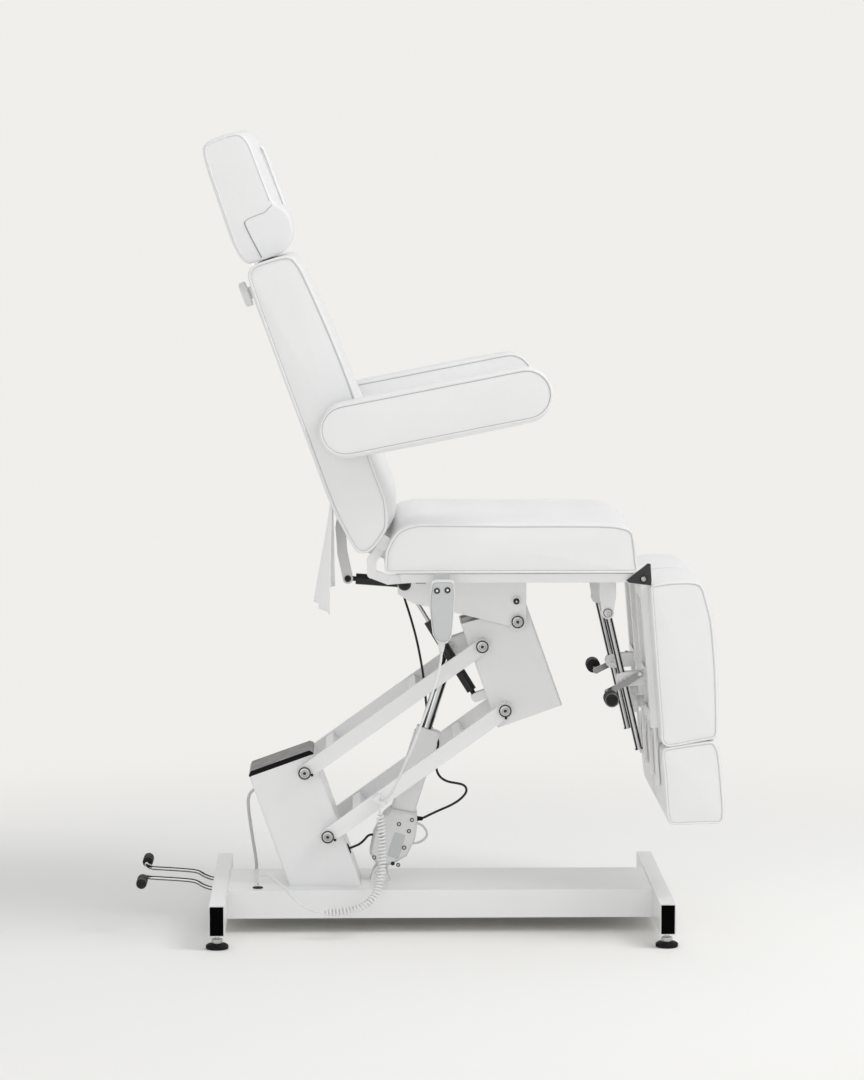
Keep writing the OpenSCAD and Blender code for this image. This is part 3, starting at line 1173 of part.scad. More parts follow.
module hand_cord_lead() placed() color(white) tube(cut_corners(hand_route, 2), lead_r, 8);
module hand_cord_curl() placed() color(white)
    tube(concat(curl_start, helix, cut_corners(tail_route, 1)), curl_wire_r, 6, [1, 0, 0]);
module mains_lead() placed() color(pale) tube(cut_corners(mains_route, 2), mains_r, 8);
module mains_coil() placed() color(pale) tube(coil_path, mains_r, 6);
module mains_plug() placed() color(pale) translate(coil_last + [0, coil_tail, 0]) rotate([-90, 0, 0]) {
    rotate_extrude() polygon([[0, 0], [mains_r + 1, 0], [plug_r / 2, plug_len / 3], [plug_r - 1, plug_len / 2],
        [plug_r, plug_len * 0.6], [plug_r, plug_len - 1], [plug_r - 1, plug_len], [0, plug_len]]);
    for (s = [-1, 1]) translate([s * plug_pin_y, 0, plug_len - cut]) cylinder(h = plug_pin_len + cut, r = plug_pin_r);
}

// Cables held by the chair
wire_r = 2.5;
motor_cable_route = [[-43.3, -20, 211.2], [-34, -20, 211], [-8, -18, 224], [34, -8, 240], [57, 0, 260], [54, 4, 274],
    [38, 8, 278], [18, 12, 280], [1, 14, 290], [-6, 14, 310], [-4, 16, 337], [1, 22, 360], [-6, 27, 372],
    [-14, 28, 388]];
module actuator_cable() placed() color(black) tube(cut_corners(motor_cable_route, 2), wire_r, 8);
housing_route = [[-183, -45, 154.8], [-172, -45, 158.7], [-158, -42, 164], [-148, -34, 172], [-141, -27, 180],
    [-131.9, -26, 180.5]];
module housing_cables() placed() color(black) tube(cut_corners(housing_route, 2), wire_r, 8);
release_route = [[-12.5, 33.7, 385], [-15, 33.8, 390], [-18, 34.5, 397], [-24, 38, 430], [-27, 41, 466], [-31, 44, 500], [-42, 54, 560],
    [-56, 64, 610], [-66, 70, 640], [-70, 75, 655], [-70, 78.8, 656]];
module release_cable() placed() color(black) tube(cut_corners(release_route, 2), wire_r, 8);

// The frame's middle is half way between the pedal grips and the foot cushions
foot_tip_x = leg_pivot[0] + (foot_x + foot_len) * cos(leg_drop) + (leg_pad_z + leg_t * 1.1) * sin(leg_drop);
frame_x = -(grip_x - grip_r + foot_tip_x) / 2;
module placed() translate([frame_x, 0, 0]) children();

base_beam();
foot_bars();
bar_end_caps();
levelling_feet();
tower();
tower_cover();
tower_shafts();
cable_grommets();
pedal_right();
pedal_left();
upper_arms();
lower_arms();
block();
block_cover();
block_shafts();
actuator_housing();
actuator_tube();
actuator_rod();
seat_frame();
rail_end_caps();
seat_cushion();
tilt_spring_barrel();
tilt_spring_rod();
recline_spring_barrel();
recline_spring_rod();
back_frame();
back_cushion();
back_panel();
apron();
headrest_frame();
headrest_cushion();
headrest_pads();
head_knob();
armrest_right();
armrest_left();
leg_frame_right();
leg_frame_left();
leg_cushion_right();
leg_cushion_left();
foot_slide_right();
foot_slide_left();
foot_cushion_right();
foot_cushion_left();
strut_right();
strut_left();
release_lever_right();
release_lever_left();
leg_knob_right();
leg_knob_left();
handset();
button_up();
button_down();
hand_cord_lead();
hand_cord_curl();
mains_lead();
mains_coil();
mains_plug();
actuator_cable();
housing_cables();
release_cable();
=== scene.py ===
import json
import math

import bpy
import numpy
from mathutils import Matrix, Vector
from mathutils.bvhtree import BVHTree


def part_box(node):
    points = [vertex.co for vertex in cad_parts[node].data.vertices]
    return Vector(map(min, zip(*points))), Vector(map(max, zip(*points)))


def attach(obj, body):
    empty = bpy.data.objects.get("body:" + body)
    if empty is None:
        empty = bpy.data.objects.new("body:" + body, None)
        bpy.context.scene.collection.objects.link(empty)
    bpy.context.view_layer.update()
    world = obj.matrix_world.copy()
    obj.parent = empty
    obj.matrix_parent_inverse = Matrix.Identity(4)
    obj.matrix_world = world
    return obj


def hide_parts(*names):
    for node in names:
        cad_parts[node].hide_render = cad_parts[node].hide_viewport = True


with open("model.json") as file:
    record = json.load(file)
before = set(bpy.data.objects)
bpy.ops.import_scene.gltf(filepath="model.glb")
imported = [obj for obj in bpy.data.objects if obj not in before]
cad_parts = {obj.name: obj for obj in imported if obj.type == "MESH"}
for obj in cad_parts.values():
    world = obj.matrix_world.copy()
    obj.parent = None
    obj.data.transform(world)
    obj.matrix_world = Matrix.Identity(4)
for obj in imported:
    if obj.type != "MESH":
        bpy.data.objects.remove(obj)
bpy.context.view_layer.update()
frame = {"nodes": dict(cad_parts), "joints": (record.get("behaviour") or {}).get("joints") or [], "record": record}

bl_info = {
    "name": "Podiatry chair",
    "version": (1, 0, 0),
    "blender": (4, 5, 0),
    "location": "View3D > Sidebar > Chair",
    "description": "Upholstery, cords and finishes built round the packed podiatry chair",
    "category": "Add Mesh",
}

# Places

MM = 0.001
SIDES = (("right", -1), ("left", 1))
JOINTS = {row["name"]: row for row in frame["joints"]}
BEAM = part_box("base_beam")
MIDDLE_X = (BEAM[0][0] + BEAM[1][0]) / 2
SEAT_RISE = 97
ARMREST_RISE = 11.1


def side_view(origin, angle=0.0):
    """Matrix from millimetres in a side view, turned up by an angle, to metres from origin in the frame."""
    return Matrix.Translation(origin) @ Matrix.Rotation(-angle, 4, "Y") @ Matrix.Scale(MM, 4)


def view_from(joint, angle=0.0):
    """Side view that starts at a joint's pivot."""
    return side_view(JOINTS[joint]["pos_m"], angle)


def lean_of(slide):
    """Angle at which a slide leans back from upright."""
    x, _, z = JOINTS[slide]["axis"]
    return math.atan2(-x, z)


def leg_view(side):
    """Side view of a leg rest, whose own x runs down along the foot's slide."""
    x, _, z = JOINTS["foot_%s_slide" % side]["axis"]
    return view_from("leg_%s_raise" % side, math.atan2(z, x))


BASE = side_view((MIDDLE_X, 0, 0))
SEAT = view_from("seat_tilt") @ Matrix.Translation((0, 0, SEAT_RISE))
BACK = view_from("recline", lean_of("headrest_slide"))
PUSH = view_from("actuator_swing", lean_of("actuator_stroke"))


def across(place, x, y, z, sign=1):
    """Place whose own z points across the chair, outwards on the side that sign gives."""
    return place @ Matrix.Translation((x, y, z)) @ Matrix.Rotation(-sign * math.pi / 2, 4, "X")


# Shader nodes

def add(tree, kind, values=(), **settings):
    """New node with its settings and inputs. An input that is given another node's socket is linked to it."""
    node = tree.nodes.new("ShaderNode" + kind)
    for name, value in settings.items():
        setattr(node, name, value)
    for name, value in dict(values).items():
        if isinstance(value, bpy.types.NodeSocket):
            tree.links.new(value, node.inputs[name])
        else:
            node.inputs[name].default_value = value
    return node


def maths(tree, operation, *values):
    """Result of a maths node on sockets or numbers."""
    return add(tree, "Math", enumerate(values), operation=operation).outputs["Value"]


def ranged(tree, source, start, end, low=0.0, high=1.0, **settings):
    """Value that goes from low to high as source goes from start to end."""
    values = {"Value": source, "From Min": start, "From Max": end, "To Min": low, "To Max": high}
    return add(tree, "MapRange", values, **settings).outputs["Result"]


def mixed(tree, share, a, b):
    """Colour that goes from a to b as share goes from nought to one."""
    return add(tree, "Mix", {"Factor": share, "A": a, "B": b}, data_type="RGBA").outputs["Result"]


# Finishes

FINISHES = {}
# Dark of the room's bands, which bright metal mirrors; also painted into bright metal's colour as dark reflection
# stripes
MIRRORED_DARK = (0.03, 0.03, 0.03, 1)
BRIGHTEST = 0.97
# Nodes that look different from the rest of their slot
OWN_LOOKS = {"bar_end_caps": "end cap", "tower_cover": "cover", "block_cover": "cover",
             "actuator_tube": "white plastic", "handset": "white plastic",
             # Release levers: chrome whose colour is darkened as painted dark reflection
             "release_lever_right": "dark chrome", "release_lever_left": "dark chrome"}


def surface(name, colour, rough=0.5, metal=0.0, grain=0.0, grain_size=0.001, cells=False, mottle=0.02,
            mottle_size=0.09, wave=0.0, wave_size=0.03, wear=0.0, coat=0.0, sheen=0.0, round_edges=0.0,
            rough_spread=0.06, shine=0.5, reflection_stripes=False):
    """Procedural finish: mottled colour, spread roughness, a fine grain, slow waves and worn edges, and on bright
    metal dark stripes of painted reflection.
    """
    mat = bpy.data.materials.new(name)
    mat.use_nodes = True
    mat.diffuse_color = (*colour, 1)
    tree = mat.node_tree
    shader = tree.nodes["Principled BSDF"]
    for socket, value in (("Metallic", metal), ("Coat Weight", coat), ("Coat Roughness", 0.12),
                          ("Sheen Weight", sheen), ("Sheen Roughness", 0.4), ("Specular IOR Level", shine)):
        shader.inputs[socket].default_value = value
    where = add(tree, "TexCoord").outputs["Object"]

    def noise(size, detail):
        values = {"Vector": where, "Scale": 1 / size, "Detail": detail, "Roughness": 0.55}
        return add(tree, "TexNoise", values).outputs["Fac"]

    def spread(source, low, high):
        return ranged(tree, source, 0.3, 0.7, low, high)

    darker = (*[max(0, c - mottle) for c in colour], 1)
    lighter = (*[min(1, c + mottle) for c in colour], 1)
    tint = mixed(tree, spread(noise(mottle_size, 4), 0, 1), darker, lighter)
    if wear:
        edge = ranged(tree, add(tree, "NewGeometry").outputs["Pointiness"], 0.52, 0.62, 0, wear)
        tint = mixed(tree, edge, tint, (*[c * 0.72 + 0.12 for c in colour], 1))
    # Painted reflection: the colour goes dark in two bands where the normal turns part way from the y axis,
    # standing for dark surroundings mirrored in bright metal
    if reflection_stripes:
        facing = add(tree, "SeparateXYZ", {"Vector": add(tree, "NewGeometry").outputs["Normal"]})
        size = maths(tree, "ABSOLUTE", facing.outputs["Y"])
        both = maths(tree, "MULTIPLY", ranged(tree, size, 0.5, 0.62), ranged(tree, size, 0.95, 0.88))
        tint = mixed(tree, both, tint, MIRRORED_DARK)
    tree.links.new(tint, shader.inputs["Base Color"])
    roughness = spread(noise(mottle_size / 3, 5), rough - rough_spread, rough + rough_spread)
    tree.links.new(roughness, shader.inputs["Roughness"])
    normal = None
    if round_edges:
        normal = add(tree, "Bevel", {"Radius": round_edges}, samples=4).outputs["Normal"]
    for depth, size, cell in ((wave, wave_size, False), (grain, grain_size, cells)):
        if not depth:
            continue
        if cell:
            values = {"Vector": where, "Scale": 1 / size}
            height = add(tree, "TexVoronoi", values, feature="SMOOTH_F1").outputs["Distance"]
        else:
            height = noise(size, 3)
        bump = add(tree, "Bump", {"Strength": 1.0, "Distance": depth, "Height": height})
        if normal:
            tree.links.new(normal, bump.inputs["Normal"])
        normal = bump.outputs["Normal"]
    if normal:
        tree.links.new(normal, shader.inputs["Normal"])
    return mat


def painted_seam_shade(name, colour):
    """Settings of a matt finish for the shade beside a seam."""
    return dict(name=name, colour=colour, rough=0.8, grain=0.00005, grain_size=0.0009, mottle=0.02, shine=0.2)


def looks():
    """The look of each material slot of the record, and looks that a few pieces have to themselves."""
    c = bpy.context.scene.chair_colours
    steel, vinyl, black = tuple(c.steel), tuple(c.vinyl), tuple(c.black)

    def times(colour, share):
        return tuple(min(BRIGHTEST, v * share) for v in colour)

    # Bright metal, with dark reflection stripes painted into its colour
    mirror = dict(metal=1.0, grain=0.000004, grain_size=0.0006, mottle_size=0.05, rough_spread=0.03,
                  round_edges=0.0006, reflection_stripes=True)
    cord = dict(grain=0.00003, grain_size=0.0008)
    return {
        "white_steel": dict(
            name="powder coat", colour=steel, rough=0.36, grain=0.00006, grain_size=0.0016, mottle=0.008,
            wear=0.25, round_edges=0.0012, coat=0.15),
        "white_vinyl": dict(
            name="upholstery vinyl", colour=vinyl, rough=0.42, grain=0.00012, grain_size=0.0011, cells=True,
            mottle=0.012, mottle_size=0.14, wave=0.0006, wave_size=0.045, sheen=0.06, coat=0.06),
        "apron": dict(
            name="apron vinyl", colour=times(vinyl, 1.15), grain=0.0001, grain_size=0.0011, cells=True,
            mottle=0.01, mottle_size=0.14, sheen=0.06),
        "back_board": dict(
            name="back board", colour=times(vinyl, 0.97), grain=0.00008, grain_size=0.0014, cells=True,
            mottle=0.015, round_edges=0.001),
        "black_plastic": dict(
            name="moulded black plastic", colour=black, rough=0.42, grain=0.00008, grain_size=0.0009,
            cells=True, mottle=0.003, wear=0.3, round_edges=0.001, shine=0.25),
        "black_rubber": dict(
            name="black rubber", colour=times(black, 0.8), rough=0.62, grain=0.00006, grain_size=0.0007,
            mottle=0.002, round_edges=0.0008, shine=0.25),
        "end cap": dict(
            name="end cap rubber", colour=times(black, 0.12), rough=0.8, grain=0.00004, grain_size=0.0012,
            mottle=0.0008, shine=0.05),
        "cover": dict(
            name="glossy black cover", colour=black, rough=0.24, grain=0.00002, grain_size=0.0025,
            mottle=0.004, round_edges=0.0015, shine=0.14),
        "bolt_steel": dict(
            name="zinc plated steel", colour=(0.52, 0.52, 0.51), rough=0.3, metal=1.0, grain=0.00003,
            grain_size=0.0008, mottle=0.05, mottle_size=0.012, round_edges=0.0005),
        "chrome_rod": dict(name="bright chrome", colour=(0.62, 0.625, 0.63), rough=0.08, **mirror),
        # Same chrome as the rods with a much darker colour, painting in the levers' dark reflection
        "dark chrome": dict(name="dark mirrored rod", colour=(0.3, 0.3, 0.305), rough=0.12, **mirror),
        "spring_black": dict(
            name="black painted barrel", colour=times(black, 0.8), rough=0.3, mottle=0.002, wear=0.2,
            grain=0.00002, grain_size=0.002, round_edges=0.0006, shine=0.3),
        "spring_rod": dict(
            name="polished rod", colour=(0.6, 0.6, 0.61), rough=0.14, metal=1.0, grain=0.000005,
            grain_size=0.0005, mottle=0.03, mottle_size=0.03, rough_spread=0.04),
        "pale_plastic": dict(
            name="pale moulded plastic", colour=tuple(c.plastic), grain=0.00009, cells=True, mottle=0.012,
            wear=0.2, round_edges=0.0018),
        "white plastic": dict(
            name="white moulded plastic", colour=times(vinyl, 0.94), rough=0.42, grain=0.00005, cells=True,
            mottle=0.01, round_edges=0.0015),
        "knob_plastic": dict(
            name="white knob plastic", colour=times(vinyl, 0.97), rough=0.33, grain=0.00003,
            grain_size=0.0012, mottle=0.01, round_edges=0.0012),
        "face": dict(
            name="handset face", colour=(0.56, 0.57, 0.57), rough=0.42, grain=0.00005, grain_size=0.0009,
            mottle=0.008),
        "cord_white": dict(
            name="white lead", colour=times(vinyl, 0.96), rough=0.45, mottle=0.012, mottle_size=0.02, **cord),
        "cord_grey": dict(
            name="grey lead", colour=tuple(c.lead), mottle=0.015, mottle_size=0.03, **cord),
        "cord_black": dict(
            name="black cable", colour=times(black, 0.8), rough=0.45, mottle=0.004, mottle_size=0.02, **cord),
        # Painted shade: matt grey looks for the dark lines beside seams and round the handset's face
        "line": painted_seam_shade("seam shade", (0.3, 0.3, 0.3)),
        "fine line": painted_seam_shade("fine seam shade", (0.5, 0.5, 0.49)),
        "faint line": painted_seam_shade("faint seam shade", (0.64, 0.64, 0.635)),
    }


def finish_of(look):
    """The material of a look, made when it is first asked for."""
    if look not in FINISHES:
        FINISHES[look] = surface(**looks()[look])
    return FINISHES[look]


# Meshes

def make(name, data, body, slot, stands_for=(), look=None, smooth=True, sharp=None):
    """Piece from its points and faces, riding on a body, with its slot's look or another one.

    Corners sharper than sharp degrees stay crisp.
    """
    verts, faces = data
    mesh = bpy.data.meshes.new(name)
    mesh.from_pydata([tuple(v) for v in verts], [], faces)
    mesh.validate()
    mesh.update()
    mesh.polygons.foreach_set("use_smooth", [smooth] * len(mesh.polygons))
    if sharp:
        mesh.set_sharp_from_angle(angle=math.radians(sharp))
    mesh.materials.append(finish_of(look or slot))
    obj = bpy.data.objects.new(name, mesh)
    bpy.context.scene.collection.objects.link(obj)
    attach(obj, body)
    if stands_for:
        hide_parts(*stands_for)
    return obj


def circle(steps):
    """Cosine and sine of even steps round a circle."""
    return [(math.cos(a), math.sin(a)) for a in (2 * math.pi * k / steps for k in range(steps))]


def arc(x, z, r, start, stop, step):
    """Points of an arc in a side view, its angles in degrees."""
    turns = [math.radians(a) for a in range(start, stop, step)]
    return [(x + r * math.cos(a), z + r * math.sin(a)) for a in turns]


def band(rows, count, turned=False, closed=True):
    """Faces between neighbouring rows of count points, the other way round where turned."""
    faces = []
    for j in range(rows - 1):
        near, far = j * count, (j + 1) * count
        for i in range(count if closed else count - 1):
            k = (i + 1) % count
            face = (near + i, near + k, far + k, far + i)
            faces.append((face[0], face[3], face[2], face[1]) if turned else face)
    return faces


def ends(rows, count):
    """Faces that close the first and the last row."""
    return [tuple(range(count))[::-1], tuple((rows - 1) * count + k for k in range(count))]


def frames_along(path, closed=False):
    """Directions square to a path at each of its points, carried along without a twist."""
    n = len(path)
    tangents = []
    for i in range(n):
        a = path[(i - 1) % n if closed else max(i - 1, 0)]
        b = path[(i + 1) % n if closed else min(i + 1, n - 1)]
        tangents.append((b - a).normalized())
    up = Vector((0.3, 1, 0.2))
    frames = []
    for t in tangents:
        up = (up - t * up.dot(t)).normalized()
        frames.append((up.copy(), t.cross(up)))
    return frames


def tube_data(path, radius, sides=12, closed=False):
    """Points and faces of a round tube, closed at its ends or into a ring."""
    verts, n = [], len(path)
    for p, (u, w) in zip(path, frames_along(path, closed)):
        verts += [p + (u * c + w * s) * radius for c, s in circle(sides)]
    faces = band(n, sides)
    if closed:
        last = (n - 1) * sides
        faces += [(last + k, last + (k + 1) % sides, (k + 1) % sides, k) for k in range(sides)]
    else:
        faces += ends(n, sides)
    return verts, faces


def lathe_data(profile, place, steps=40):
    """Points and faces of a turned form: profile of (radius, height) about the place's own z."""
    verts = [place @ Vector((r * c, r * s, z)) for r, z in profile for c, s in circle(steps)]
    return verts, band(len(profile), steps) + ends(len(profile), steps)


def box_data(place, low, high):
    """Points and faces of a box between two corners."""
    verts = [place @ Vector((x, y, z)) for x in (low[0], high[0]) for y in (low[1], high[1])
             for z in (low[2], high[2])]
    return verts, [(0, 1, 3, 2), (4, 6, 7, 5), (0, 4, 5, 1), (2, 3, 7, 6), (0, 2, 6, 4), (1, 5, 7, 3)]


def joined(parts):
    """Several lots of points and faces as one."""
    verts, faces = [], []
    for v, f in parts:
        start = len(verts)
        verts += v
        faces += [tuple(i + start for i in face) for face in f]
    return verts, faces


def ribs(count, start, pitch, crest, groove, cuts):
    """Turned profile of a grip's ribs: down into a groove at the first cut, up again past the second."""
    profile = []
    for z in (start + k * pitch for k in range(count)):
        profile += [(crest, z), (groove, z + cuts[0]), (groove, z + cuts[1]), (crest, z + cuts[2])]
    return profile


def smooth_route(points, steps=8):
    """Catmull-Rom curve through points, with steps points on each stretch."""
    pts = [Vector(p) for p in points]
    pts = [pts[0] * 2 - pts[1]] + pts + [pts[-1] * 2 - pts[-2]]
    out = []
    for i in range(1, len(pts) - 2):
        p0, p1, p2, p3 = pts[i - 1:i + 3]
        for k in range(steps):
            t = k / steps
            out.append(0.5 * (2 * p1 + (p2 - p0) * t + (2 * p0 - 5 * p1 + 4 * p2 - p3) * t * t
                              + (3 * p1 - 3 * p2 + p3 - p0) * t ** 3))
    return out + [pts[-2]]


def cut_corners(points, passes=3):
    """Route rounded by cutting its corners, as the solid's own route is."""
    p = [Vector(q) for q in points]
    for _ in range(passes):
        q = [p[0]]
        for a, b in zip(p, p[1:]):
            q += [a.lerp(b, 0.25), a.lerp(b, 0.75)]
        p = q + [p[-1]]
    return p


def length_of(path):
    return sum((b - a).length for a, b in zip(path, path[1:]))


def evenly(path, step):
    """Points an even step apart along a path."""
    total = length_of(path)
    n = max(2, round(total / step))
    out, k, run = [path[0].copy()], 0, 0.0
    for i in range(1, n):
        want = total * i / n
        while run + (path[k + 1] - path[k]).length < want:
            run += (path[k + 1] - path[k]).length
            k += 1
        seg = (path[k + 1] - path[k]).length
        out.append(path[k].lerp(path[k + 1], (want - run) / seg))
    return out + [path[-1].copy()]


# Upholstery

# Filled by pad, for the operators that settle the pads and lay their seams
PADS = []
SEAMS = []
WRAP_STEPS = 11
PANEL_SHARES = (0.94, 0.84, 0.68, 0.48, 0.26, 0.1)
PIPING_INSET = 0.4
PIPING_SIDES = 8
SEAM_GAP = 0.4
SEAM_REACH = 60


def shares_to(points, w, h, x0=0.0, z0=0.0):
    """Outline from its shares of a width and a height, and its lowest corner."""
    return [(x0 + x * w, z0 + z * h) for x, z in points]


def eased(value, start, length):
    """Smooth step from nought at start to one after length."""
    t = min(1.0, max(0.0, (value - start) / length))
    return t * t * (3 - 2 * t)


def closed_outline(points, count):
    """Even, smooth closed outline through points."""
    n = len(points)
    pts = [Vector((*p, 0)) for p in points]
    dense = []
    for i in range(n):
        p0, p1, p2, p3 = (pts[(i + k) % n] for k in (-1, 0, 1, 2))
        reach = 1.6 * (p2 - p1).length
        m1 = (p2 - p0) * 0.5 * min(1.0, reach / max((p2 - p0).length, 1e-6))
        m2 = (p3 - p1) * 0.5 * min(1.0, reach / max((p3 - p1).length, 1e-6))
        for k in range(16):
            t = k / 16
            h1, h2 = 2 * t ** 3 - 3 * t * t + 1, -2 * t ** 3 + 3 * t * t
            h3, h4 = t ** 3 - 2 * t * t + t, t ** 3 - t * t
            dense.append(p1 * h1 + p2 * h2 + m1 * h3 + m2 * h4)
    dense.append(dense[0])
    return [(v.x, v.y) for v in evenly(dense, length_of(dense) / count)[:count]]


def outward(outline, i):
    """Direction out of an outline at one of its points."""
    n = len(outline)
    d = (outline[(i + 1) % n][0] - outline[i - 1][0], outline[(i + 1) % n][1] - outline[i - 1][1])
    size = math.hypot(*d) or 1
    return d[1] / size, -d[0] / size


def wrap_rings(outline, half, crown, up, edge, dents):
    """Rings of a pad's wrap, side to side: crowned where it faces up, rounded in at its edges."""
    normals = [outward(outline, i) for i in range(len(outline))]
    turns = [math.pi / 2 * k / WRAP_STEPS for k in range(-WRAP_STEPS, WRAP_STEPS + 1)]
    rings = []
    for s in sorted({round(math.sin(a), 5) for a in turns}):
        y = s * half
        over = max(0.0, abs(y) - (half - edge)) / edge
        inset = edge * (1 - math.sqrt(max(0.0, 1 - over * over)))
        ring = []
        for (x, z), (nx, nz) in zip(outline, normals):
            face = max(0.0, nx * up[0] + nz * up[1]) ** 2
            rise = crown(x, z) if callable(crown) else crown
            lift = rise * face * (1 - s * s) - inset
            for dx, dy, depth, spread in dents:
                if face > 0.2:
                    lift -= depth * math.exp(-((x - dx) ** 2 + (y - dy) ** 2) / (2 * spread * spread))
            ring.append(Vector((x + nx * lift, y, z + nz * lift)))
        rings.append(ring)
    return rings


def side_panel(ring, centre, sign, bulge):
    """Rings of a side panel that puffs out from its seam to its middle."""
    mid = Vector((centre.x, ring[0].y, centre.z))
    return [[mid + (v - mid) * k + Vector((0, sign * bulge * (1 - k * k), 0)) for v in ring]
            for k in PANEL_SHARES]


def pad(name, place, points, half, crown, up, body, nodes, count=120, swell=0.006, edge=2.6,
        bulge=4.0, dents=(), piping=3.0, shade="faint line"):
    """Upholstered pad: a wrap round the side outline, side panels, and piping along both of their seams."""
    outline = closed_outline(points, count)
    rings = wrap_rings(outline, half, crown, up, edge, dents)
    centre = sum((Vector(v) for v in rings[0]), Vector()) / count
    caps = [side_panel(rings[0], centre, -1, bulge), side_panel(rings[-1], centre, 1, bulge)]
    order = caps[0][::-1] + rings + caps[1]
    verts = [place @ v for ring in order for v in ring]
    verts += [place @ (sum(order[0], Vector()) / count), place @ (sum(order[-1], Vector()) / count)]
    last = (len(order) - 1) * count
    faces = band(len(order), count, turned=True)
    faces += [(len(verts) - 2, i, (i + 1) % count) for i in range(count)]
    faces += [(len(verts) - 1, last + (i + 1) % count, last + i) for i in range(count)]
    obj = make(name, (verts, faces), body, "white_vinyl", nodes)
    first = len(caps[0])
    held = list(range(first * count, (first + 1) * count))
    held += list(range((first + len(rings) - 1) * count, (first + len(rings)) * count))
    PADS.append((obj, held, swell))
    SEAMS.append((obj, place, [(v.x, v.z) for v in rings[0]], half, piping, body, shade))
    if piping:
        parts = []
        for ring, sign in zip((rings[0], rings[-1]), (-1, 1)):
            line = [place @ (v + Vector((0, -sign * PIPING_INSET, 0))) for v in ring]
            parts.append(tube_data(line, piping * MM, PIPING_SIDES, closed=True))
        make(name + "_piping", joined(parts), body, "white_vinyl")


def laid_on(obj, place, points, y_from, sign):
    """Points (x, z) in millimetres carried from y_from on to the side of a piece that sign gives."""
    mesh = obj.data
    tree = BVHTree.FromPolygons([obj.matrix_world @ v.co for v in mesh.vertices],
                                [tuple(f.vertices) for f in mesh.polygons])
    hits = [tree.ray_cast(place @ Vector((x, y_from, z)), Vector((0, -sign, 0)))[0] for x, z in points]
    return [hit for hit in hits if hit]


def bead(name, obj, place, points, y_from, sign, radius, look, body, closed=False):
    """Thin line through points in a side view, laid on one side of a piece: a sewn seam, or the painted shade
    beside one.
    """
    flat = points if closed else [(v.x, v.y) for v in smooth_route([(*q, 0) for q in points], 6)]
    path = laid_on(obj, place, flat, y_from, sign)
    if len(path) < 4:
        raise RuntimeError("seam %s misses its pad" % name)
    make(name, tube_data(path, radius * MM, 6, closed), body, "white_vinyl", look=look)


def plaque(name, place, outline, y, thick, body):
    """Flat plate with softened edges: outline (x, z) in millimetres, out from y towards the near side."""
    n = len(outline)
    mid_x, mid_z = sum(p[0] for p in outline) / n, sum(p[1] for p in outline) / n
    levels = ((1.0, 0.0), (1.0, thick * 0.6), (0.985, thick), (0.9, thick))
    verts = [place @ Vector((mid_x + (x - mid_x) * k, y - out, mid_z + (z - mid_z) * k))
             for k, out in levels for x, z in outline]
    faces = band(len(levels), n, turned=True) + [ends(len(levels), n)[1][::-1]]
    make(name, (verts, faces), body, "pale_plastic", look="face")


# Cord routes, as the solids have them

HAND_ROUTE = [(-3, -318, 580.7), (-4, -318, 560), (-20, -318, 500), (-45, -312, 430), (-72, -285, 360),
              (-94, -230, 300), (-108, -175, 274), (-116, -150, 268), (-118, -138, 268), (-118, -126.2, 268)]
CURL_ROUTE = [(-119, -138, 242), (-117, -139, 215), (-114, -142, 160), (-118, -168, 100), (-145, -192, 68),
              (-185, -203, 57), (-229, -204, 57)]
CURL_START = [(-119, -126.2, 255), (-119, -131, 255), (-119, -136, 253), (-119, -138, 248)]
TAIL_ROUTE = [(-243, -203, 58), (-262, -196, 62), (-285, -178, 76), (-305, -150, 94), (-322, -125, 106),
              (-338, -106, 114), (-352, -97, 114), (-359, -95, 106), (-360, -95, 92)]
MAINS_ROUTE = [(-359.2, 50, 265), (-366, 50, 262.6), (-378, 56, 254), (-383, 66, 238), (-382, 82, 212),
               (-376, 104, 160), (-369, 122, 112), (-367, 131, 88), (-369, 142, 50), (-366, 160, 18),
               (-355, 190, 4), (-330, 225, 3.5), (-308, 250, 3.5), (-302.1, 265, 3.5), (-302.1, 278.5, 3.5)]
MOTOR_ROUTE = [(-43.3, -20, 211.2), (-34, -20, 211), (-8, -18, 224), (34, -8, 240), (57, 0, 260),
               (54, 4, 274), (38, 8, 278), (18, 12, 280), (1, 14, 290), (-6, 14, 310), (-4, 16, 337),
               (1, 22, 360), (-6, 27, 372), (-14, 28, 388)]
HOUSING_ROUTE = [(-183, -45, 154.8), (-172, -45, 158.7), (-158, -42, 164), (-148, -34, 172),
                 (-141, -27, 180), (-131.9, -26, 180.5)]
RELEASE_ROUTE = [(-12.5, 33.7, 385), (-15, 33.8, 390), (-18, 34.5, 397), (-24, 38, 430), (-27, 41, 466),
                 (-31, 44, 500), (-42, 54, 560), (-56, 64, 610), (-66, 70, 640), (-70, 75, 655),
                 (-70, 78.8, 656)]
HAND_R, MAINS_R, HELD_R = 2.5, 3.25, 2.4
CURL_COUNT, CURL_R, CURL_WIRE_R = 40, 6.3, 2.0
COIL_MID, COIL_Z = (-250, 285), 3.5
COIL_TURNS, COIL_IN, COIL_PITCH, COIL_RISE, COIL_TAIL = 7, 26.7, 7.8, 8, 46


def wound(route, turns, steps, r):
    """Helix round a route, drawn in to the route over one turn at each end."""
    n = turns * steps
    mids = evenly(route, length_of(route) / n)
    up, out = Vector((1, 0, 0)), []
    for i, m in enumerate(mids):
        t = (mids[min(i + 1, n)] - mids[max(i - 1, 0)]).normalized()
        up = (up - t * up.dot(t)).normalized()
        a = 2 * math.pi * i / steps
        grow = min(1, i / steps, (n - i) / steps)
        out.append(m + (up * math.cos(a) + t.cross(up) * math.sin(a)) * r * grow)
    return out


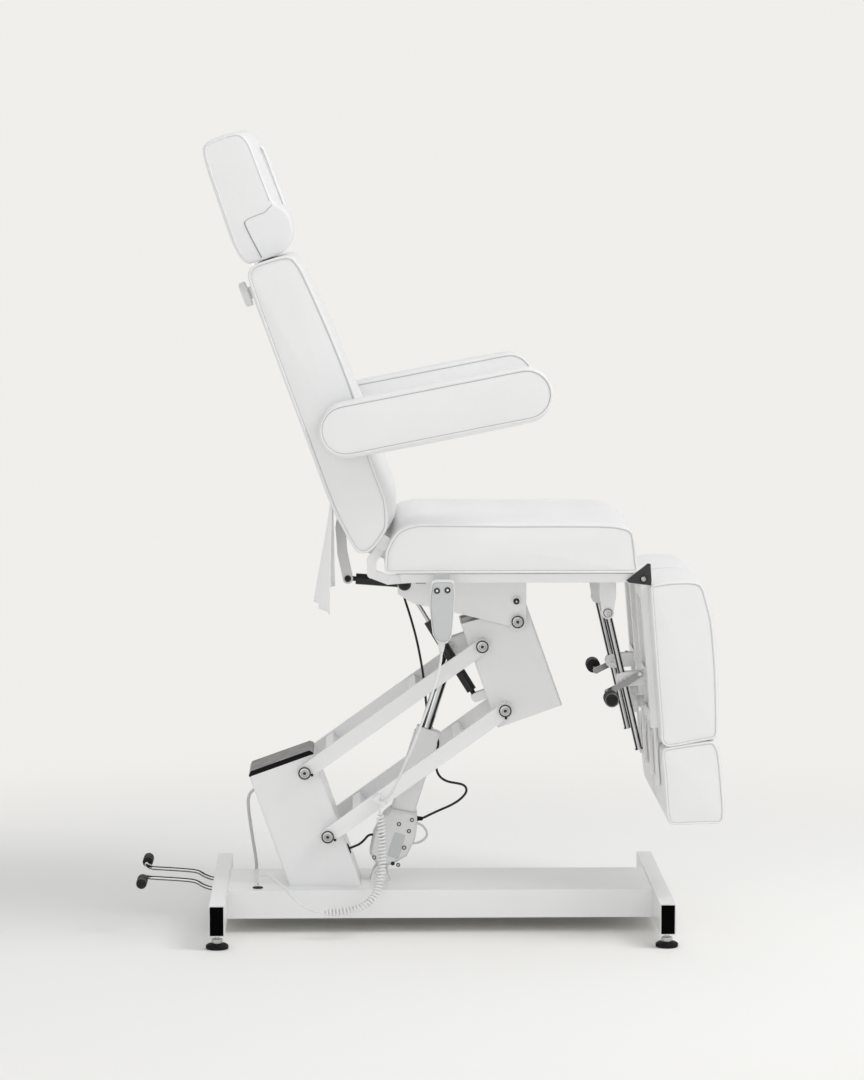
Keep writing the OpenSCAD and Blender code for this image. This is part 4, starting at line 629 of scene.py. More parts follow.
def coil_loops(steps):
    """Loops of the put-away lead: a spiral in, half a turn that climbs, and a spiral out on top."""
    way = (COIL_TURNS - 0.5) / 2
    out = []
    for i in range(COIL_TURNS * steps + 1):
        a = i / steps
        r = COIL_IN + COIL_PITCH * max(0, way - a, a - way - 0.5)
        x = COIL_MID[0] - r * math.cos(2 * math.pi * a)
        y = COIL_MID[1] + r * math.sin(2 * math.pi * a)
        out.append(Vector((x, y, COIL_Z + min(1, max(0, (a - way) * 2)) * COIL_RISE)))
    return out


def lead(name, path, radius, body, nodes, slot, sides=12):
    """Round lead along a path in millimetres. Returns the piece, its path in metres and its length."""
    line = [BASE @ p for p in path]
    obj = make(name, tube_data(line, radius * MM, sides), body, slot, nodes)
    return obj, line, length_of(line)


# Settings

def colour_setting(name, description, default):
    """Setting that holds a colour."""
    return bpy.props.FloatVectorProperty(name=name, description=description, subtype="COLOR", size=3, min=0,
                                         max=1, default=default)


class ChairColours(bpy.types.PropertyGroup):
    """Colours of the chair's finishes"""
    vinyl: colour_setting("Vinyl", "Upholstery and piping", (0.842, 0.842, 0.838))
    steel: colour_setting("Powder coat", "Frame, base, tower and block", (0.88, 0.88, 0.876))
    black: colour_setting("Black", "Covers, caps, feet, grips and springs", (0.006, 0.006, 0.0065))
    plastic: colour_setting("Pale plastic", "Actuator and handset", (0.745, 0.745, 0.742))
    lead: colour_setting("Mains lead", "Lead, coil and plug", (0.6, 0.6, 0.6))
    room: colour_setting("Room", "Floor and background", (0.87, 0.86, 0.83))


class ChairSizes(bpy.types.PropertyGroup):
    """Sizes that the upholstery is made with"""
    piping: bpy.props.FloatProperty(name="Piping", description="Radius of the piping in millimetres",
                                    default=2.6, min=1, max=5)
    swell: bpy.props.FloatProperty(name="Swell", description="Most that a panel may puff out",
                                   default=0.006, min=0, max=0.012, unit="LENGTH", precision=4)
    pressure: bpy.props.FloatProperty(name="Pressure", description="Pressure inside the pads as they settle",
                                      default=4.0, min=0, max=10)


class Piece:
    """What every operator here shares"""
    bl_options = {"REGISTER", "UNDO"}

    def execute(self, context):
        self.build(context.scene.chair_sizes)
        return {"FINISHED"}


# Stage, camera and lamps

LENS, SENSOR = 126.62, 36
EYE = (-0.1902 + MIDDLE_X, -7.5196, 1.4356)
EYE_YAW, EYE_PITCH = 0.0235, 0.0886
LAMPS = (("key", (3.0, -1.75, 4.3), 2.4, 96), ("fill", (-1.2, -6.0, 0.9), 3.2, 30))
LAMPS_AIM = Vector((0, 0, 0.6))
FLOOR_REACH, FLOOR_STEPS = 9.0, 48
FLOOR_FADE = (0.9, 2.6)
FLOOR_SHARE = 1.08
MIRRORED_SHARE = 0.95
SKY = (0.97, 0.98, 1.0, 1)
SKY_STRENGTH = 0.7


class CHAIR_OT_stage(Piece, bpy.types.Operator):
    """Pale floor and background, soft lamps and the photograph's camera"""
    bl_idname = "chair.stage"
    bl_label = "Stage"

    def build(self, sizes):
        scene = bpy.context.scene
        room = tuple(scene.chair_colours.room)
        scene.view_settings.view_transform = "Standard"
        cam = bpy.data.cameras.new("camera")
        cam.lens = LENS
        cam.sensor_width = SENSOR
        eye = bpy.data.objects.new("camera", cam)
        scene.collection.objects.link(eye)
        level = math.cos(EYE_PITCH)
        forward = Vector((math.sin(EYE_YAW) * level, math.cos(EYE_YAW) * level, -math.sin(EYE_PITCH)))
        eye.location = EYE
        eye.rotation_euler = forward.to_track_quat("-Z", "Y").to_euler()
        scene.camera = eye
        self.floor(room)
        self.world(room)
        for name, where, size, power in LAMPS:
            lamp = bpy.data.lights.new(name, "AREA")
            lamp.energy = power
            lamp.size = size
            obj = bpy.data.objects.new(name, lamp)
            scene.collection.objects.link(obj)
            obj.location = where
            obj.rotation_euler = (LAMPS_AIM - Vector(where)).to_track_quat("-Z", "Y").to_euler()

    def floor(self, room):
        """Round floor that fades into the background."""
        n = FLOOR_STEPS
        verts = [(0, 0, 0)] + [(FLOOR_REACH * c, FLOOR_REACH * s, 0) for c, s in circle(n)]
        mesh = bpy.data.meshes.new("floor")
        mesh.from_pydata(verts, [], [(0, k + 1, (k + 1) % n + 1) for k in range(n)])
        obj = bpy.data.objects.new("floor", mesh)
        bpy.context.scene.collection.objects.link(obj)
        mat = bpy.data.materials.new("studio floor")
        mat.use_nodes = True
        tree = mat.node_tree
        shader = tree.nodes["Principled BSDF"]
        shader.inputs["Base Color"].default_value = (*[v * FLOOR_SHARE for v in room], 1)
        shader.inputs["Roughness"].default_value = 0.9
        shader.inputs["Specular IOR Level"].default_value = 0.1
        glow = add(tree, "Emission", {"Color": (*room, 1)})
        far = add(tree, "VectorMath", {0: add(tree, "TexCoord").outputs["Object"]}, operation="LENGTH")
        fade = ranged(tree, far.outputs["Value"], *FLOOR_FADE, interpolation_type="SMOOTHERSTEP")
        mix = add(tree, "MixShader", {0: fade, 1: shader.outputs["BSDF"], 2: glow.outputs["Emission"]})
        tree.links.new(mix.outputs["Shader"], tree.nodes["Material Output"].inputs["Surface"])
        mesh.materials.append(mat)

    def world(self, room):
        """Even sky for light, a banded room for bright metal to mirror, and a plain one for the camera."""
        world = bpy.data.worlds.new("studio")
        bpy.context.scene.world = world
        world.use_nodes = True
        tree = world.node_tree
        sky = tree.nodes["Background"]
        sky.inputs["Color"].default_value = SKY
        sky.inputs["Strength"].default_value = SKY_STRENGTH
        seen = add(tree, "Background", {"Color": (*room, 1), "Strength": 1.0})
        ray = add(tree, "LightPath").outputs
        either = maths(tree, "MAXIMUM", ray["Is Camera Ray"], ray["Is Transmission Ray"])
        bright = (*[v * MIRRORED_SHARE for v in room], 1)
        banded = mixed(tree, self.dark_sides(tree), bright, MIRRORED_DARK)
        bands = add(tree, "Background", {"Color": banded, "Strength": 1.0})
        lit = add(tree, "MixShader", {0: ray["Is Glossy Ray"], 1: sky.outputs["Background"],
                                      2: bands.outputs["Background"]})
        mix = add(tree, "MixShader", {0: either, 1: lit.outputs["Shader"], 2: seen.outputs["Background"]})
        tree.links.new(mix.outputs["Shader"], tree.nodes["World Output"].inputs["Surface"])

    def dark_sides(self, tree):
        """One on two upright bands on each side of the room, which bright metal mirrors as dark stripes."""
        part = add(tree, "SeparateXYZ", {"Vector": add(tree, "TexCoord").outputs["Generated"]}).outputs
        turn = maths(tree, "ABSOLUTE", maths(tree, "ARCTAN2", part["X"],
                                             maths(tree, "MULTIPLY", part["Y"], -1)))
        near = maths(tree, "MULTIPLY", ranged(tree, turn, 0.34, 0.42), ranged(tree, turn, 1.15, 1.07))
        far = maths(tree, "MULTIPLY", ranged(tree, turn, 1.7, 1.78), ranged(tree, turn, 2.5, 2.42))
        return maths(tree, "MAXIMUM", near, far)


# Cords

class CHAIR_OT_hand_cord(Piece, bpy.types.Operator):
    """Handset's straight lead to the clip, and its curly cord down to the beam"""
    bl_idname = "chair.hand_cord"
    bl_label = "Hand cord"

    def build(self, sizes):
        path = evenly(cut_corners(HAND_ROUTE), 6)
        obj, line, length = lead("hand_lead", path, HAND_R, "seat", ("hand_cord_lead",), "cord_white")
        helix = wound(cut_corners(CURL_ROUTE), CURL_COUNT, 16, CURL_R)
        path = [Vector(p) for p in CURL_START] + helix + evenly(cut_corners(TAIL_ROUTE), 6)
        obj, line, length = lead("hand_curl", path, CURL_WIRE_R, "base", ("hand_cord_curl",), "cord_white",
                                 10)


class CHAIR_OT_mains(Piece, bpy.types.Operator):
    """Mains lead from the tower to its put-away coil and plug"""
    bl_idname = "chair.mains"
    bl_label = "Mains lead"

    def plug(self, end):
        """Plug with a ribbed strain relief and two round pins, at the end of the lead."""
        place = across(BASE, *end)
        profile = [(3.2, 0)]
        for k in range(7):
            profile += [(4.4 + k * 0.28, 1 + k * 2.2), (3.7 + k * 0.28, 2.1 + k * 2.2)]
        profile += [(6.2, 16.5), (9.6, 19), (10.9, 23), (11.2, 38), (10.4, 40)]
        parts = [lathe_data(profile, place)]
        for x in (-5.89, 5.89):
            pin = place @ Matrix.Translation((x, 0, 39))
            parts.append(lathe_data([(2.4, 0), (2.4, 17), (1.6, 19)], pin, 16))
        return make("mains_plug_body", joined(parts), "base", "cord_grey", ("mains_plug",), sharp=50)

    def build(self, sizes):
        loops = coil_loops(36)
        path = evenly(cut_corners(MAINS_ROUTE), 8) + loops[1:] + [loops[-1] + Vector((0, COIL_TAIL, 0))]
        plug = self.plug(path[-1])
        obj, line, length = lead("mains_cable", path, MAINS_R, "base", ("mains_lead", "mains_coil"),
                                 "cord_grey", 10)


class CHAIR_OT_held_cables(Piece, bpy.types.Operator):
    """Black cables between the tower, the actuator and the seat"""
    bl_idname = "chair.held_cables"
    bl_label = "Held cables"

    def build(self, sizes):
        for name, route, body, node in (("motor_cable", MOTOR_ROUTE, "actuator", "actuator_cable"),
                                        ("housing_cable", HOUSING_ROUTE, "base", "housing_cables"),
                                        ("seat_cable", RELEASE_ROUTE, "seat", "release_cable")):
            lead(name, evenly(cut_corners(route), 5), HELD_R, body, (node,), "cord_black")


# Upholstered pieces

CUSHION_HALF = 300
FACES_UP, FACES_DOWN, FACES_FRONT = (0, 1), (0, -1), (1, 0)


class CHAIR_OT_seat_pad(Piece, bpy.types.Operator):
    """Seat cushion with piped side panels and soft dents on its crown"""
    bl_idname = "chair.seat_pad"
    bl_label = "Seat cushion"

    def build(self, sizes):
        side_shares = [(0, 0.04), (0.02, 0), (0.25, 0), (0.5, 0), (0.75, 0), (0.98, 0), (1, 0.04),
                       (0.995, 0.3), (0.99, 0.56), (0.975, 0.88), (0.9, 1), (0.7, 1.02), (0.5, 1.02),
                       (0.3, 1.03), (0.125, 1.03), (0.06, 0.92), (0.03, 0.76), (0.005, 0.5), (0, 0.34)]
        length, thick, rear, under, crown = 484, 92, -263.5, 20, 8
        dent, dent_spread = 6.5, 28
        dents = [(x, y, dent, dent_spread) for x in (-150, -20, 110) for y in (-150, 0, 150)]
        outline = shares_to(side_shares, length, thick, rear, under)
        pad("seat_cushion_cover", SEAT, outline, CUSHION_HALF, crown, FACES_UP, "seat", ("seat_cushion",),
            dents=dents, piping=sizes.piping, swell=sizes.swell)


class CHAIR_OT_back_pad(Piece, bpy.types.Operator):
    """Back cushion, fully crowned in front below the armrests, and the board behind it"""
    bl_idname = "chair.back_pad"
    bl_label = "Back cushion"

    def build(self, sizes):
        side_shares = [(-0.676, 0.17), (-0.55, 0.01), (-0.4, -0.006), (-0.2, 0.002), (0.146, 0.045),
                       (0.25, 0.085), (0.33, 0.14), (0.335, 0.284), (0.47, 0.48), (0.46, 0.7),
                       (0.373, 0.931), (0.28, 0.985), (0.094, 1), (-0.426, 1.005), (-0.58, 0.995),
                       (-0.646, 0.97), (-0.67, 0.8), (-0.678, 0.6), (-0.678, 0.4)]
        thick, height = 100, 582
        full, flat_from, flattens_over = 20, 185, 120

        def crown(n, s):
            return full - (full - 0.5) * eased(s, flat_from, flattens_over)

        outline = shares_to(side_shares, thick, height)
        pad("back_cushion_cover", BACK, outline, CUSHION_HALF, crown, FACES_FRONT, "back", ("back_cushion",),
            piping=sizes.piping, swell=sizes.swell)
        self.board()

    def board(self):
        """Board with cut corners and a rounded rim that closes the back."""
        wide, low, high, corner, count = 214, 95, 549, 9, 96
        mid, tall = (low + high) / 2, (high - low) / 2
        outline = closed_outline([(corner - wide, low), (wide - corner, low), (wide, low + corner),
                                  (wide, high - corner), (wide - corner, high), (corner - wide, high),
                                  (-wide, high - corner), (-wide, low + corner)], count)
        levels = ((0, -67.0), (0, -70.2), (2.5, -71.6), (10, -71.8), (60, -71.9))
        verts = [BACK @ Vector((n, y * (1 - inset / wide), mid + (s - mid) * (1 - inset / tall)))
                 for inset, n in levels for y, s in outline]
        faces = band(len(levels), count) + ends(len(levels), count)[1:]
        make("back_board_cover", (verts, faces), "back", "back_board", ("back_panel",))


class CHAIR_OT_headrest(Piece, bpy.types.Operator):
    """Headrest with its neck roll and its raised centre pad"""
    bl_idname = "chair.headrest"
    bl_label = "Headrest"

    def build(self, sizes):
        side = [(-55, 588), (-30, 587), (4, 587), (21, 592), (35, 604), (44, 620), (47.5, 637), (46, 655),
                (39, 668), (30.5, 678), (25.5, 692), (24.5, 730), (24.5, 790), (23, 812), (18, 826), (7, 834),
                (-18, 838), (-50, 836.5), (-63, 828), (-68, 800), (-71, 720), (-73, 640), (-70, 608),
                (-64, 594)]
        centre = [(35, 630), (43, 630), (47, 634), (48.5, 645), (48.5, 716), (48.2, 785), (46.5, 794),
                  (42, 798), (35, 798), (33, 716)]
        half, centre_half = 150, 84
        low_crown, more_crown, grows_from, grows_over = 2, 17.5, 640, 50

        def crown(n, s):
            return low_crown + more_crown * eased(s, grows_from, grows_over)

        pad("headrest_cover", BACK, side, half, crown, FACES_FRONT, "headrest", ("headrest_cushion",),
            count=132, piping=0, swell=sizes.swell * 0.6, bulge=1)
        pad("headrest_centre", BACK, centre, centre_half, 1, FACES_FRONT, "headrest", ("headrest_pads",),
            count=96, piping=1.2, swell=0.002, edge=4, bulge=0.6)


class CHAIR_OT_armrests(Piece, bpy.types.Operator):
    """Round-ended armrests with piping on both faces, and their pivot pins"""
    bl_idname = "chair.armrests"
    bl_label = "Armrests"

    def build(self, sizes):
        r, span, half = 50.5, 347, 40
        outline = arc(0, 0, r, 90, 271, 18) + [(span * k / 4, -r) for k in (1, 2, 3)]
        outline += arc(span, 0, r, -90, 91, 18) + [(span * k / 4, r) for k in (3, 2, 1)]
        for side, sign in SIDES:
            body = "armrest_" + side
            place = view_from(body + "_raise", math.radians(ARMREST_RISE))
            pad(body + "_pad", place, outline, half, 4, FACES_DOWN, body, (body,), count=132,
                piping=sizes.piping * 0.8, swell=sizes.swell * 0.7, edge=4, bulge=3, shade="fine line")
            pin = lathe_data([(12, -102), (12, -44), (15.5, -43.8), (15.5, -39.5)],
                             across(place, 0, 0, 0, sign), 32)
            make("armrest_pin_" + side, pin, body, "chrome_rod", sharp=35)


class CHAIR_OT_leg_pads(Piece, bpy.types.Operator):
    """Leg and foot cushions of both leg rests"""
    bl_idname = "chair.leg_pads"
    bl_label = "Leg and foot cushions"

    def build(self, sizes):
        leg_shares = [(0.02, 0.02), (0.05, 0), (0.3, 0), (0.6, 0), (0.9, 0), (0.965, 0), (1, 0.12),
                      (0.985, 0.7), (0.97, 1.04), (0.93, 1.1), (0.6, 1.16), (0.285, 1.155), (0.15, 1.09),
                      (0.035, 0.97), (0.01, 0.5)]
        foot_shares = [(0, 0.12), (0.03, 0), (0.4, 0), (0.82, 0), (0.95, 0.07), (0.97, 0.6), (0.98, 1.03),
                       (0.88, 1.11), (0.5, 1.12), (0.13, 1.1), (0, 1.04), (-0.035, 0.95)]
        thick, under, half, crown = 99.5, 11.3, 136, 8
        leg_start, leg_length, foot_start, foot_length = 7, 321, 329, 158
        leg = shares_to(leg_shares, leg_length, thick, leg_start, under)
        foot = shares_to(foot_shares, foot_length, thick, foot_start, under)
        for side, _ in SIDES:
            place = leg_view(side)
            pad("leg_pad_" + side, place, leg, half, crown, FACES_UP, "leg_" + side,
                ("leg_cushion_" + side,), piping=sizes.piping * 0.8, swell=sizes.swell * 0.7)
            pad("foot_pad_" + side, place, foot, half, crown, FACES_UP, "foot_" + side,
                ("foot_cushion_" + side,), count=84, piping=sizes.piping * 0.8, swell=sizes.swell * 0.6)


class CHAIR_OT_slides(Piece, bpy.types.Operator):
    """Flat runners of the foot cushions, let into the leg rests' rails"""
    bl_idname = "chair.slides"
    bl_label = "Foot runners"

    def build(self, sizes):
        start, end, runner_y, half, under, top = 150, 410, 70, 12, 2.0, 5.5
        for side, _ in SIDES:
            parts = [box_data(leg_view(side), (start, y - half, under), (end, y + half, top))
                     for y in (-runner_y, runner_y)]
            make("foot_runners_" + side, joined(parts), "foot_" + side, "chrome_rod", ("foot_slide_" + side,),
                 look="white_steel", smooth=False)


class CHAIR_OT_apron(Piece, bpy.types.Operator):
    """Vinyl apron hung behind the back's lower end, with its hems"""
    bl_idname = "chair.apron"
    bl_label = "Apron"

    def build(self, sizes):
        half, drop, hang_x, top, bow, sag = 282, 208, -211.9, 856.0, 31, 2.0
        fold_depth, folds, crease_depth, cols, rows = 5, 4.5, 1.2, 120, 30
        sheet_thick, hem_r = 1.6, 1.3
        grid = []
        for v in (j / rows for j in range(rows + 1)):
            row = []
            for u in (i / cols for i in range(cols + 1)):
                fold = fold_depth * v * math.cos(2 * math.pi * folds * u)
                crease = crease_depth * v * v * math.sin(23 * u + 5 * v)
                x = hang_x - bow * (1 - (2 * u - 1) ** 2) * v - fold - crease
                z = top - drop * v + sag * math.sin(math.pi * u) ** 2 * v
                row.append(BASE @ Vector((x, (2 * u - 1) * half, z)))
            grid.append(row)
        sheet = ([v for row in grid for v in row], band(rows + 1, cols + 1, closed=False))
        obj = make("apron_sheet", sheet, "apron", "white_vinyl", ("apron",), look="apron")
        thick = obj.modifiers.new("thickness", "SOLIDIFY")
        thick.thickness = sheet_thick * MM
        thick.offset = 0
        hems = joined([tube_data(grid[j], hem_r * MM, 6) for j in (0, rows - 1)])
        hem = make("apron_hems", hems, "apron", "white_vinyl", look="apron")


# Settling and seams

SETTLE_FRAMES = 20
EVEN_PASSES = 60
EVEN_SHARE = 0.4


class CHAIR_OT_settle(Piece, bpy.types.Operator):
    """Lets air pressure puff the pads between their seams, capped, and keeps the result"""
    bl_idname = "chair.settle"
    bl_label = "Settle the pads"

    def evened(self, mesh, steps, held):
        """The points' moves shared with their neighbours, so no crease stays, with the seams kept."""
        both = numpy.empty(len(mesh.edges) * 2, dtype=numpy.int32)
        mesh.edges.foreach_get("vertices", both)
        one, two = both[0::2], both[1::2]
        moves = numpy.array([tuple(s) for s in steps])
        n = len(moves)
        count = numpy.maximum(numpy.bincount(one, minlength=n) + numpy.bincount(two, minlength=n), 1)
        for _ in range(EVEN_PASSES):
            near = numpy.zeros_like(moves)
            numpy.add.at(near, one, moves[two])
            numpy.add.at(near, two, moves[one])
            shared = moves * EVEN_SHARE + near / count[:, None] * (1 - EVEN_SHARE)
            shared[held] = moves[held]
            moves = shared
        return [Vector(m) for m in moves]

    def puff(self, obj, held, pressure):
        """Cloth that is held at a pad's seams and blown up from inside."""
        obj.vertex_groups.new(name="seams").add(held, 1.0, "REPLACE")
        cloth = obj.modifiers.new("cloth", "CLOTH")
        s = cloth.settings
        s.quality = 4
        s.mass = 0.3
        s.use_pressure = True
        s.uniform_pressure_force = pressure
        s.effector_weights.gravity = 0
        s.vertex_group_mass = "seams"
        s.tension_stiffness = s.compression_stiffness = 18
        s.shear_stiffness = 6
        s.bending_stiffness = 2
        cloth.point_cache.frame_start, cloth.point_cache.frame_end = 1, SETTLE_FRAMES

    def capped(self, step, swell):
        """A point's move, no longer than swell, and none where the cloth failed."""
        if not all(math.isfinite(c) for c in step):
            return Vector()
        return step * (swell / step.length) if step.length > swell else step

    def build(self, sizes):
        scene = bpy.context.scene
        if not PADS:
            return
        starts = [[v.co.copy() for v in obj.data.vertices] for obj, held, swell in PADS]
        for obj, held, swell in PADS:
            self.puff(obj, held, sizes.pressure)
        for f in range(1, SETTLE_FRAMES + 1):
            scene.frame_set(f)
        shown = bpy.context.evaluated_depsgraph_get()
        moved = []
        for (obj, held, swell), start in zip(PADS, starts):
            mesh = obj.evaluated_get(shown).to_mesh()
            steps = [self.capped(v.co - was, swell) for v, was in zip(mesh.vertices, start)]
            moved.append([was + step for was, step in zip(start, self.evened(obj.data, steps, held))])
            obj.evaluated_get(shown).to_mesh_clear()
        for (obj, held, swell), new in zip(PADS, moved):
            obj.modifiers.remove(obj.modifiers["cloth"])
            obj.vertex_groups.clear()
            for v, place in zip(obj.data.vertices, new):
                v.co = place
            obj.data.update()
        scene.frame_set(1)


class CHAIR_OT_seams(Piece, bpy.types.Operator):
    """Fine lines of painted shade beside the piping, and the headrest's sewn seams, laid on the settled pads"""
    bl_idname = "chair.seams"
    bl_label = "Seams"

    def build(self, sizes):
        for obj, place, ring, half, piping, body, shade in SEAMS:
            if not piping:
                self.head_seams(obj, place, half, body)
                continue
            line = []
            for i, (x, z) in enumerate(ring):
                nx, nz = outward(ring, i)
                line.append((x - nx * (piping + SEAM_GAP), z - nz * (piping + SEAM_GAP)))
            for side, sign in SIDES:
                bead("%s_shade_%s" % (obj.name, side), obj, place, line, sign * (half + SEAM_REACH), sign,
                     0.7, shade, body, closed=True)

    def head_seams(self, obj, place, half, body):
        """Seams round the neck roll and down the front edge, drawn as lines of painted shade, and a vinyl welt
        round the back of the headrest.
        """
        neck = [(24.0, 679.9), (14, 675.4), (6.8, 671.9), (-10, 671.5), (-27.8, 670.8), (-36, 668),
                (-38.2, 662.2), (-36.5, 640), (-33, 612), (-30.2, 592)]
        front = [(22, 689), (21.5, 740), (21.5, 790), (19.5, 812), (13, 824), (4, 829.5), (-14, 832)]
        welt = [(-14, 833), (-48, 831.5), (-59, 823), (-63.5, 798), (-66, 720), (-68, 640), (-65, 610)]
        for side, sign in SIDES:
            for name, points, r, look in (("neck", neck[:6], 0.9, "fine line"),
                                          ("nape", neck[5:], 1.1, "line"),
                                          ("front", front, 0.7, "faint line"),
                                          ("welt", welt, 1.5, "white_vinyl")):
                bead("head_%s_seam_%s" % (name, side), obj, place, points, sign * (half + SEAM_REACH), sign,
                     r, look, body)


# Hard pieces

class CHAIR_OT_feet(Piece, bpy.types.Operator):
    """Levelling feet: rubber discs with steel nuts and stems"""
    bl_idname = "chair.feet"
    bl_label = "Levelling feet"

    def build(self, sizes):
        foot_x, foot_y = 435, 273
        disc = [(19.5, 0), (21.6, 1.2), (22, 3), (22, 6.4), (21, 8), (17.5, 10.2), (15, 11), (9, 11)]
        discs, nuts = [], []
        for x in (-foot_x, foot_x):
            for y in (-foot_y, foot_y):
                place = BASE @ Matrix.Translation((x, y, 0))
                discs.append(lathe_data(disc, place))
                nuts.append(lathe_data([(10.6, 11), (11, 11.5), (11, 19.5), (10, 20)], place, 6))
                nuts.append(lathe_data([(5, 19), (5, 41)], place, 20))
                nuts.append(lathe_data([(8.5, 25.6), (8.5, 27.6)], place, 24))
        make("foot_discs", joined(discs), "base", "black_rubber", ("levelling_feet",), sharp=50)
        make("foot_nuts", joined(nuts), "base", "black_rubber", look="bolt_steel", sharp=30)


class CHAIR_OT_pedals(Piece, bpy.types.Operator):
    """Foot pedals: bent bright rods with ribbed black grips"""
    bl_idname = "chair.pedals"
    bl_label = "Foot pedals"

    def build(self, sizes):
        grip = [(4.7, 0), (9.4, 0), (10.2, 1)] + ribs(9, 4, 5, 10.5, 9.7, (1.6, 2.8, 4.2))
        grip += [(10.2, 54), (9.2, 57), (7.4, 59.2), (4, 60)]
        arm_y, grip_x, grip_y, grip_z, rod_r = 55, -587, 96, 105, 4.5
        for side, sign in SIDES:
            body, y = "pedal_" + side, sign * arm_y
            route = [(-435, y, 77), (-455, y, 79.5), (-470, y, 85), (-485, y, 93), (-510, y, 96.5),
                     (-560, y, 100), (-574, y, 101), (-583, y + sign * 4, 103.5),
                     (grip_x, y + sign * 14, grip_z), (grip_x, sign * 90, grip_z),
                     (grip_x, sign * 149, grip_z)]
            path = [BASE @ v for v in smooth_route(route)]
            make("pedal_rod_" + side, tube_data(path, rod_r * MM, 16), body, "chrome_rod", (body,))
            place = across(BASE, grip_x, sign * grip_y, grip_z, sign)
            make("pedal_grip_" + side, lathe_data(grip, place), body, "black_plastic", sharp=60)


class CHAIR_OT_bolts(Piece, bpy.types.Operator):
    """Caps of the arms' shafts, and screws and washers on the seat, the leg brackets and the back"""
    bl_idname = "chair.bolts"
    bl_label = "Screw heads"

    def head(self, place, r):
        return lathe_data([(r + 1.6, 0), (r + 1.6, 0.9), (r + 0.3, 1.0), (r + 0.3, 4.2), (r - 1.3, 6.1),
                           (r * 0.36, 6.3), (r * 0.3, 5.6)], place, 32)

    def ring(self, place, r):
        return lathe_data([(r, 0), (r, 2.0), (r - 0.6, 2.6), (r - 2.2, 2.6), (r - 2.4, 0.4)], place, 40)

    def disc(self, place, r):
        return lathe_data([(r, 0), (r, 1.6), (r * 0.68, 1.9), (r * 0.64, 1.0), (r * 0.54, 1.0),
                           (r * 0.5, 2.0), (r * 0.1, 2.1)], place, 40)

    def shaft_caps(self, put, sign):
        """Caps on the ends of the shafts of arms and block, and the set screws of the arms beside them."""
        cap_r, cap_y, tilt_y, dot_y = 12.4, 105.1, 90.1, 104.6
        upper, lower, top = (view_from(name) for name in ("lift", "lower_arms_swing", "block_level"))
        bottom = top @ upper.inverted() @ lower
        for body, place, y in (("base", upper, cap_y), ("base", lower, cap_y), ("block", top, cap_y),
                               ("block", bottom, cap_y), ("block", view_from("seat_tilt"), tilt_y)):
            cap = across(place, 0, sign * y, 0, sign)
            put("rings", body, self.ring(cap, cap_r))
            put("discs", body, self.disc(cap, cap_r - 2.3))
            # Black hex on each cap: painted shade in the socket's recess
            put("sockets", body, lathe_data([(3.6, 0), (3.6, 2.4)], cap, 6))
        for body, place, x, z in (("upper_arms", upper, 14.6, -3.6), ("lower_arms", lower, 14.3, -6.0),
                                  ("lower_arms", bottom, 1.4, -14.2)):
            dot = across(place, x, sign * dot_y, z, sign)
            put("rings", body, lathe_data([(2.8, -1), (2.8, 0.8), (1.8, 1.5)], dot, 16))

    def seat_screws(self, put, sign):
        """Large head and stud on the seat's side plates, screws of the leg brackets and hinges."""
        plate_y, stud_y, bracket_y, hinge_y = 85.0, 90.4, 162.5, 287.2
        put("rings", "seat", self.head(across(SEAT, -222.8, sign * plate_y, -22, sign), 11.2))
        boss = [(9.6, 0), (9.6, 4.6), (8.8, 5.4), (5, 5.5)]
        put("bosses", "seat", lathe_data(boss, across(SEAT, -2.8, sign * plate_y, -56, sign), 40))
        stud = across(SEAT, -2.8, sign * stud_y, -56, sign)
        put("rings", "seat", self.head(stud, 4.6))
        put("discs", "seat", lathe_data([(1.9, 0), (1.9, 6.9)], stud, 24))
        bracket = across(SEAT, 172.4, sign * bracket_y, -71.6, sign)
        put("discs", "seat", self.head(bracket, 5.4))
        put("rings", "seat", self.ring(bracket, 8.6))
        hinge = across(SEAT, 232.3, sign * hinge_y, 7, sign)
        put("rings", "seat", self.ring(hinge, 7.2))
        put("discs", "seat", self.disc(hinge, 4.9))

    def lever_screw(self, put):
        """Head of the pin that holds the recline spring, on the near side of the back's frame."""
        x, z = -180.8, 689.2
        for spot in laid_on(frame["nodes"]["back_frame"], BASE, [(x, z)], -300, -1):
            put("rings", "back", self.head(across(BASE, x, spot.y / MM, z, -1), 5.2))

    def build(self, sizes):
        lots = {"rings": {}, "discs": {}, "sockets": {}, "bosses": {}}

        def put(kind, body, data):
            lots[kind].setdefault(body, []).append(data)

        for _, sign in SIDES:
            self.shaft_caps(put, sign)
            self.seat_screws(put, sign)
        self.lever_screw(put)
        make("stud_bosses", joined(lots.pop("bosses")["seat"]), "seat", "white_steel", sharp=40)
        slots = {"rings": "spring_black", "discs": "bolt_steel", "sockets": "spring_black"}
        for kind, bodies in lots.items():
            for body, parts in bodies.items():
                make("bolt_%s_%s" % (kind, body), joined(parts), body, slots[kind], sharp=40)


class CHAIR_OT_levers(Piece, bpy.types.Operator):
    """Ribbed black grips on the leg rests' release levers"""
    bl_idname = "chair.levers"
    bl_label = "Lever grips"

    def build(self, sizes):
        grip = [(9, 0), (13.4, 0), (14.4, 1.2)] + ribs(6, 5, 5.6, 14.5, 13.9, (1.5, 3, 4.5))
        grip += [(14.3, 41), (12.9, 44), (10, 45.6), (5, 46)]
        along, out, under = 227.5, 99.6, -78.2
        for side, sign in SIDES:
            place = across(leg_view(side), along, sign * out, under, sign)
            make("lever_grip_" + side, lathe_data(grip, place), "release_lever_" + side, "black_plastic",
                 sharp=60)


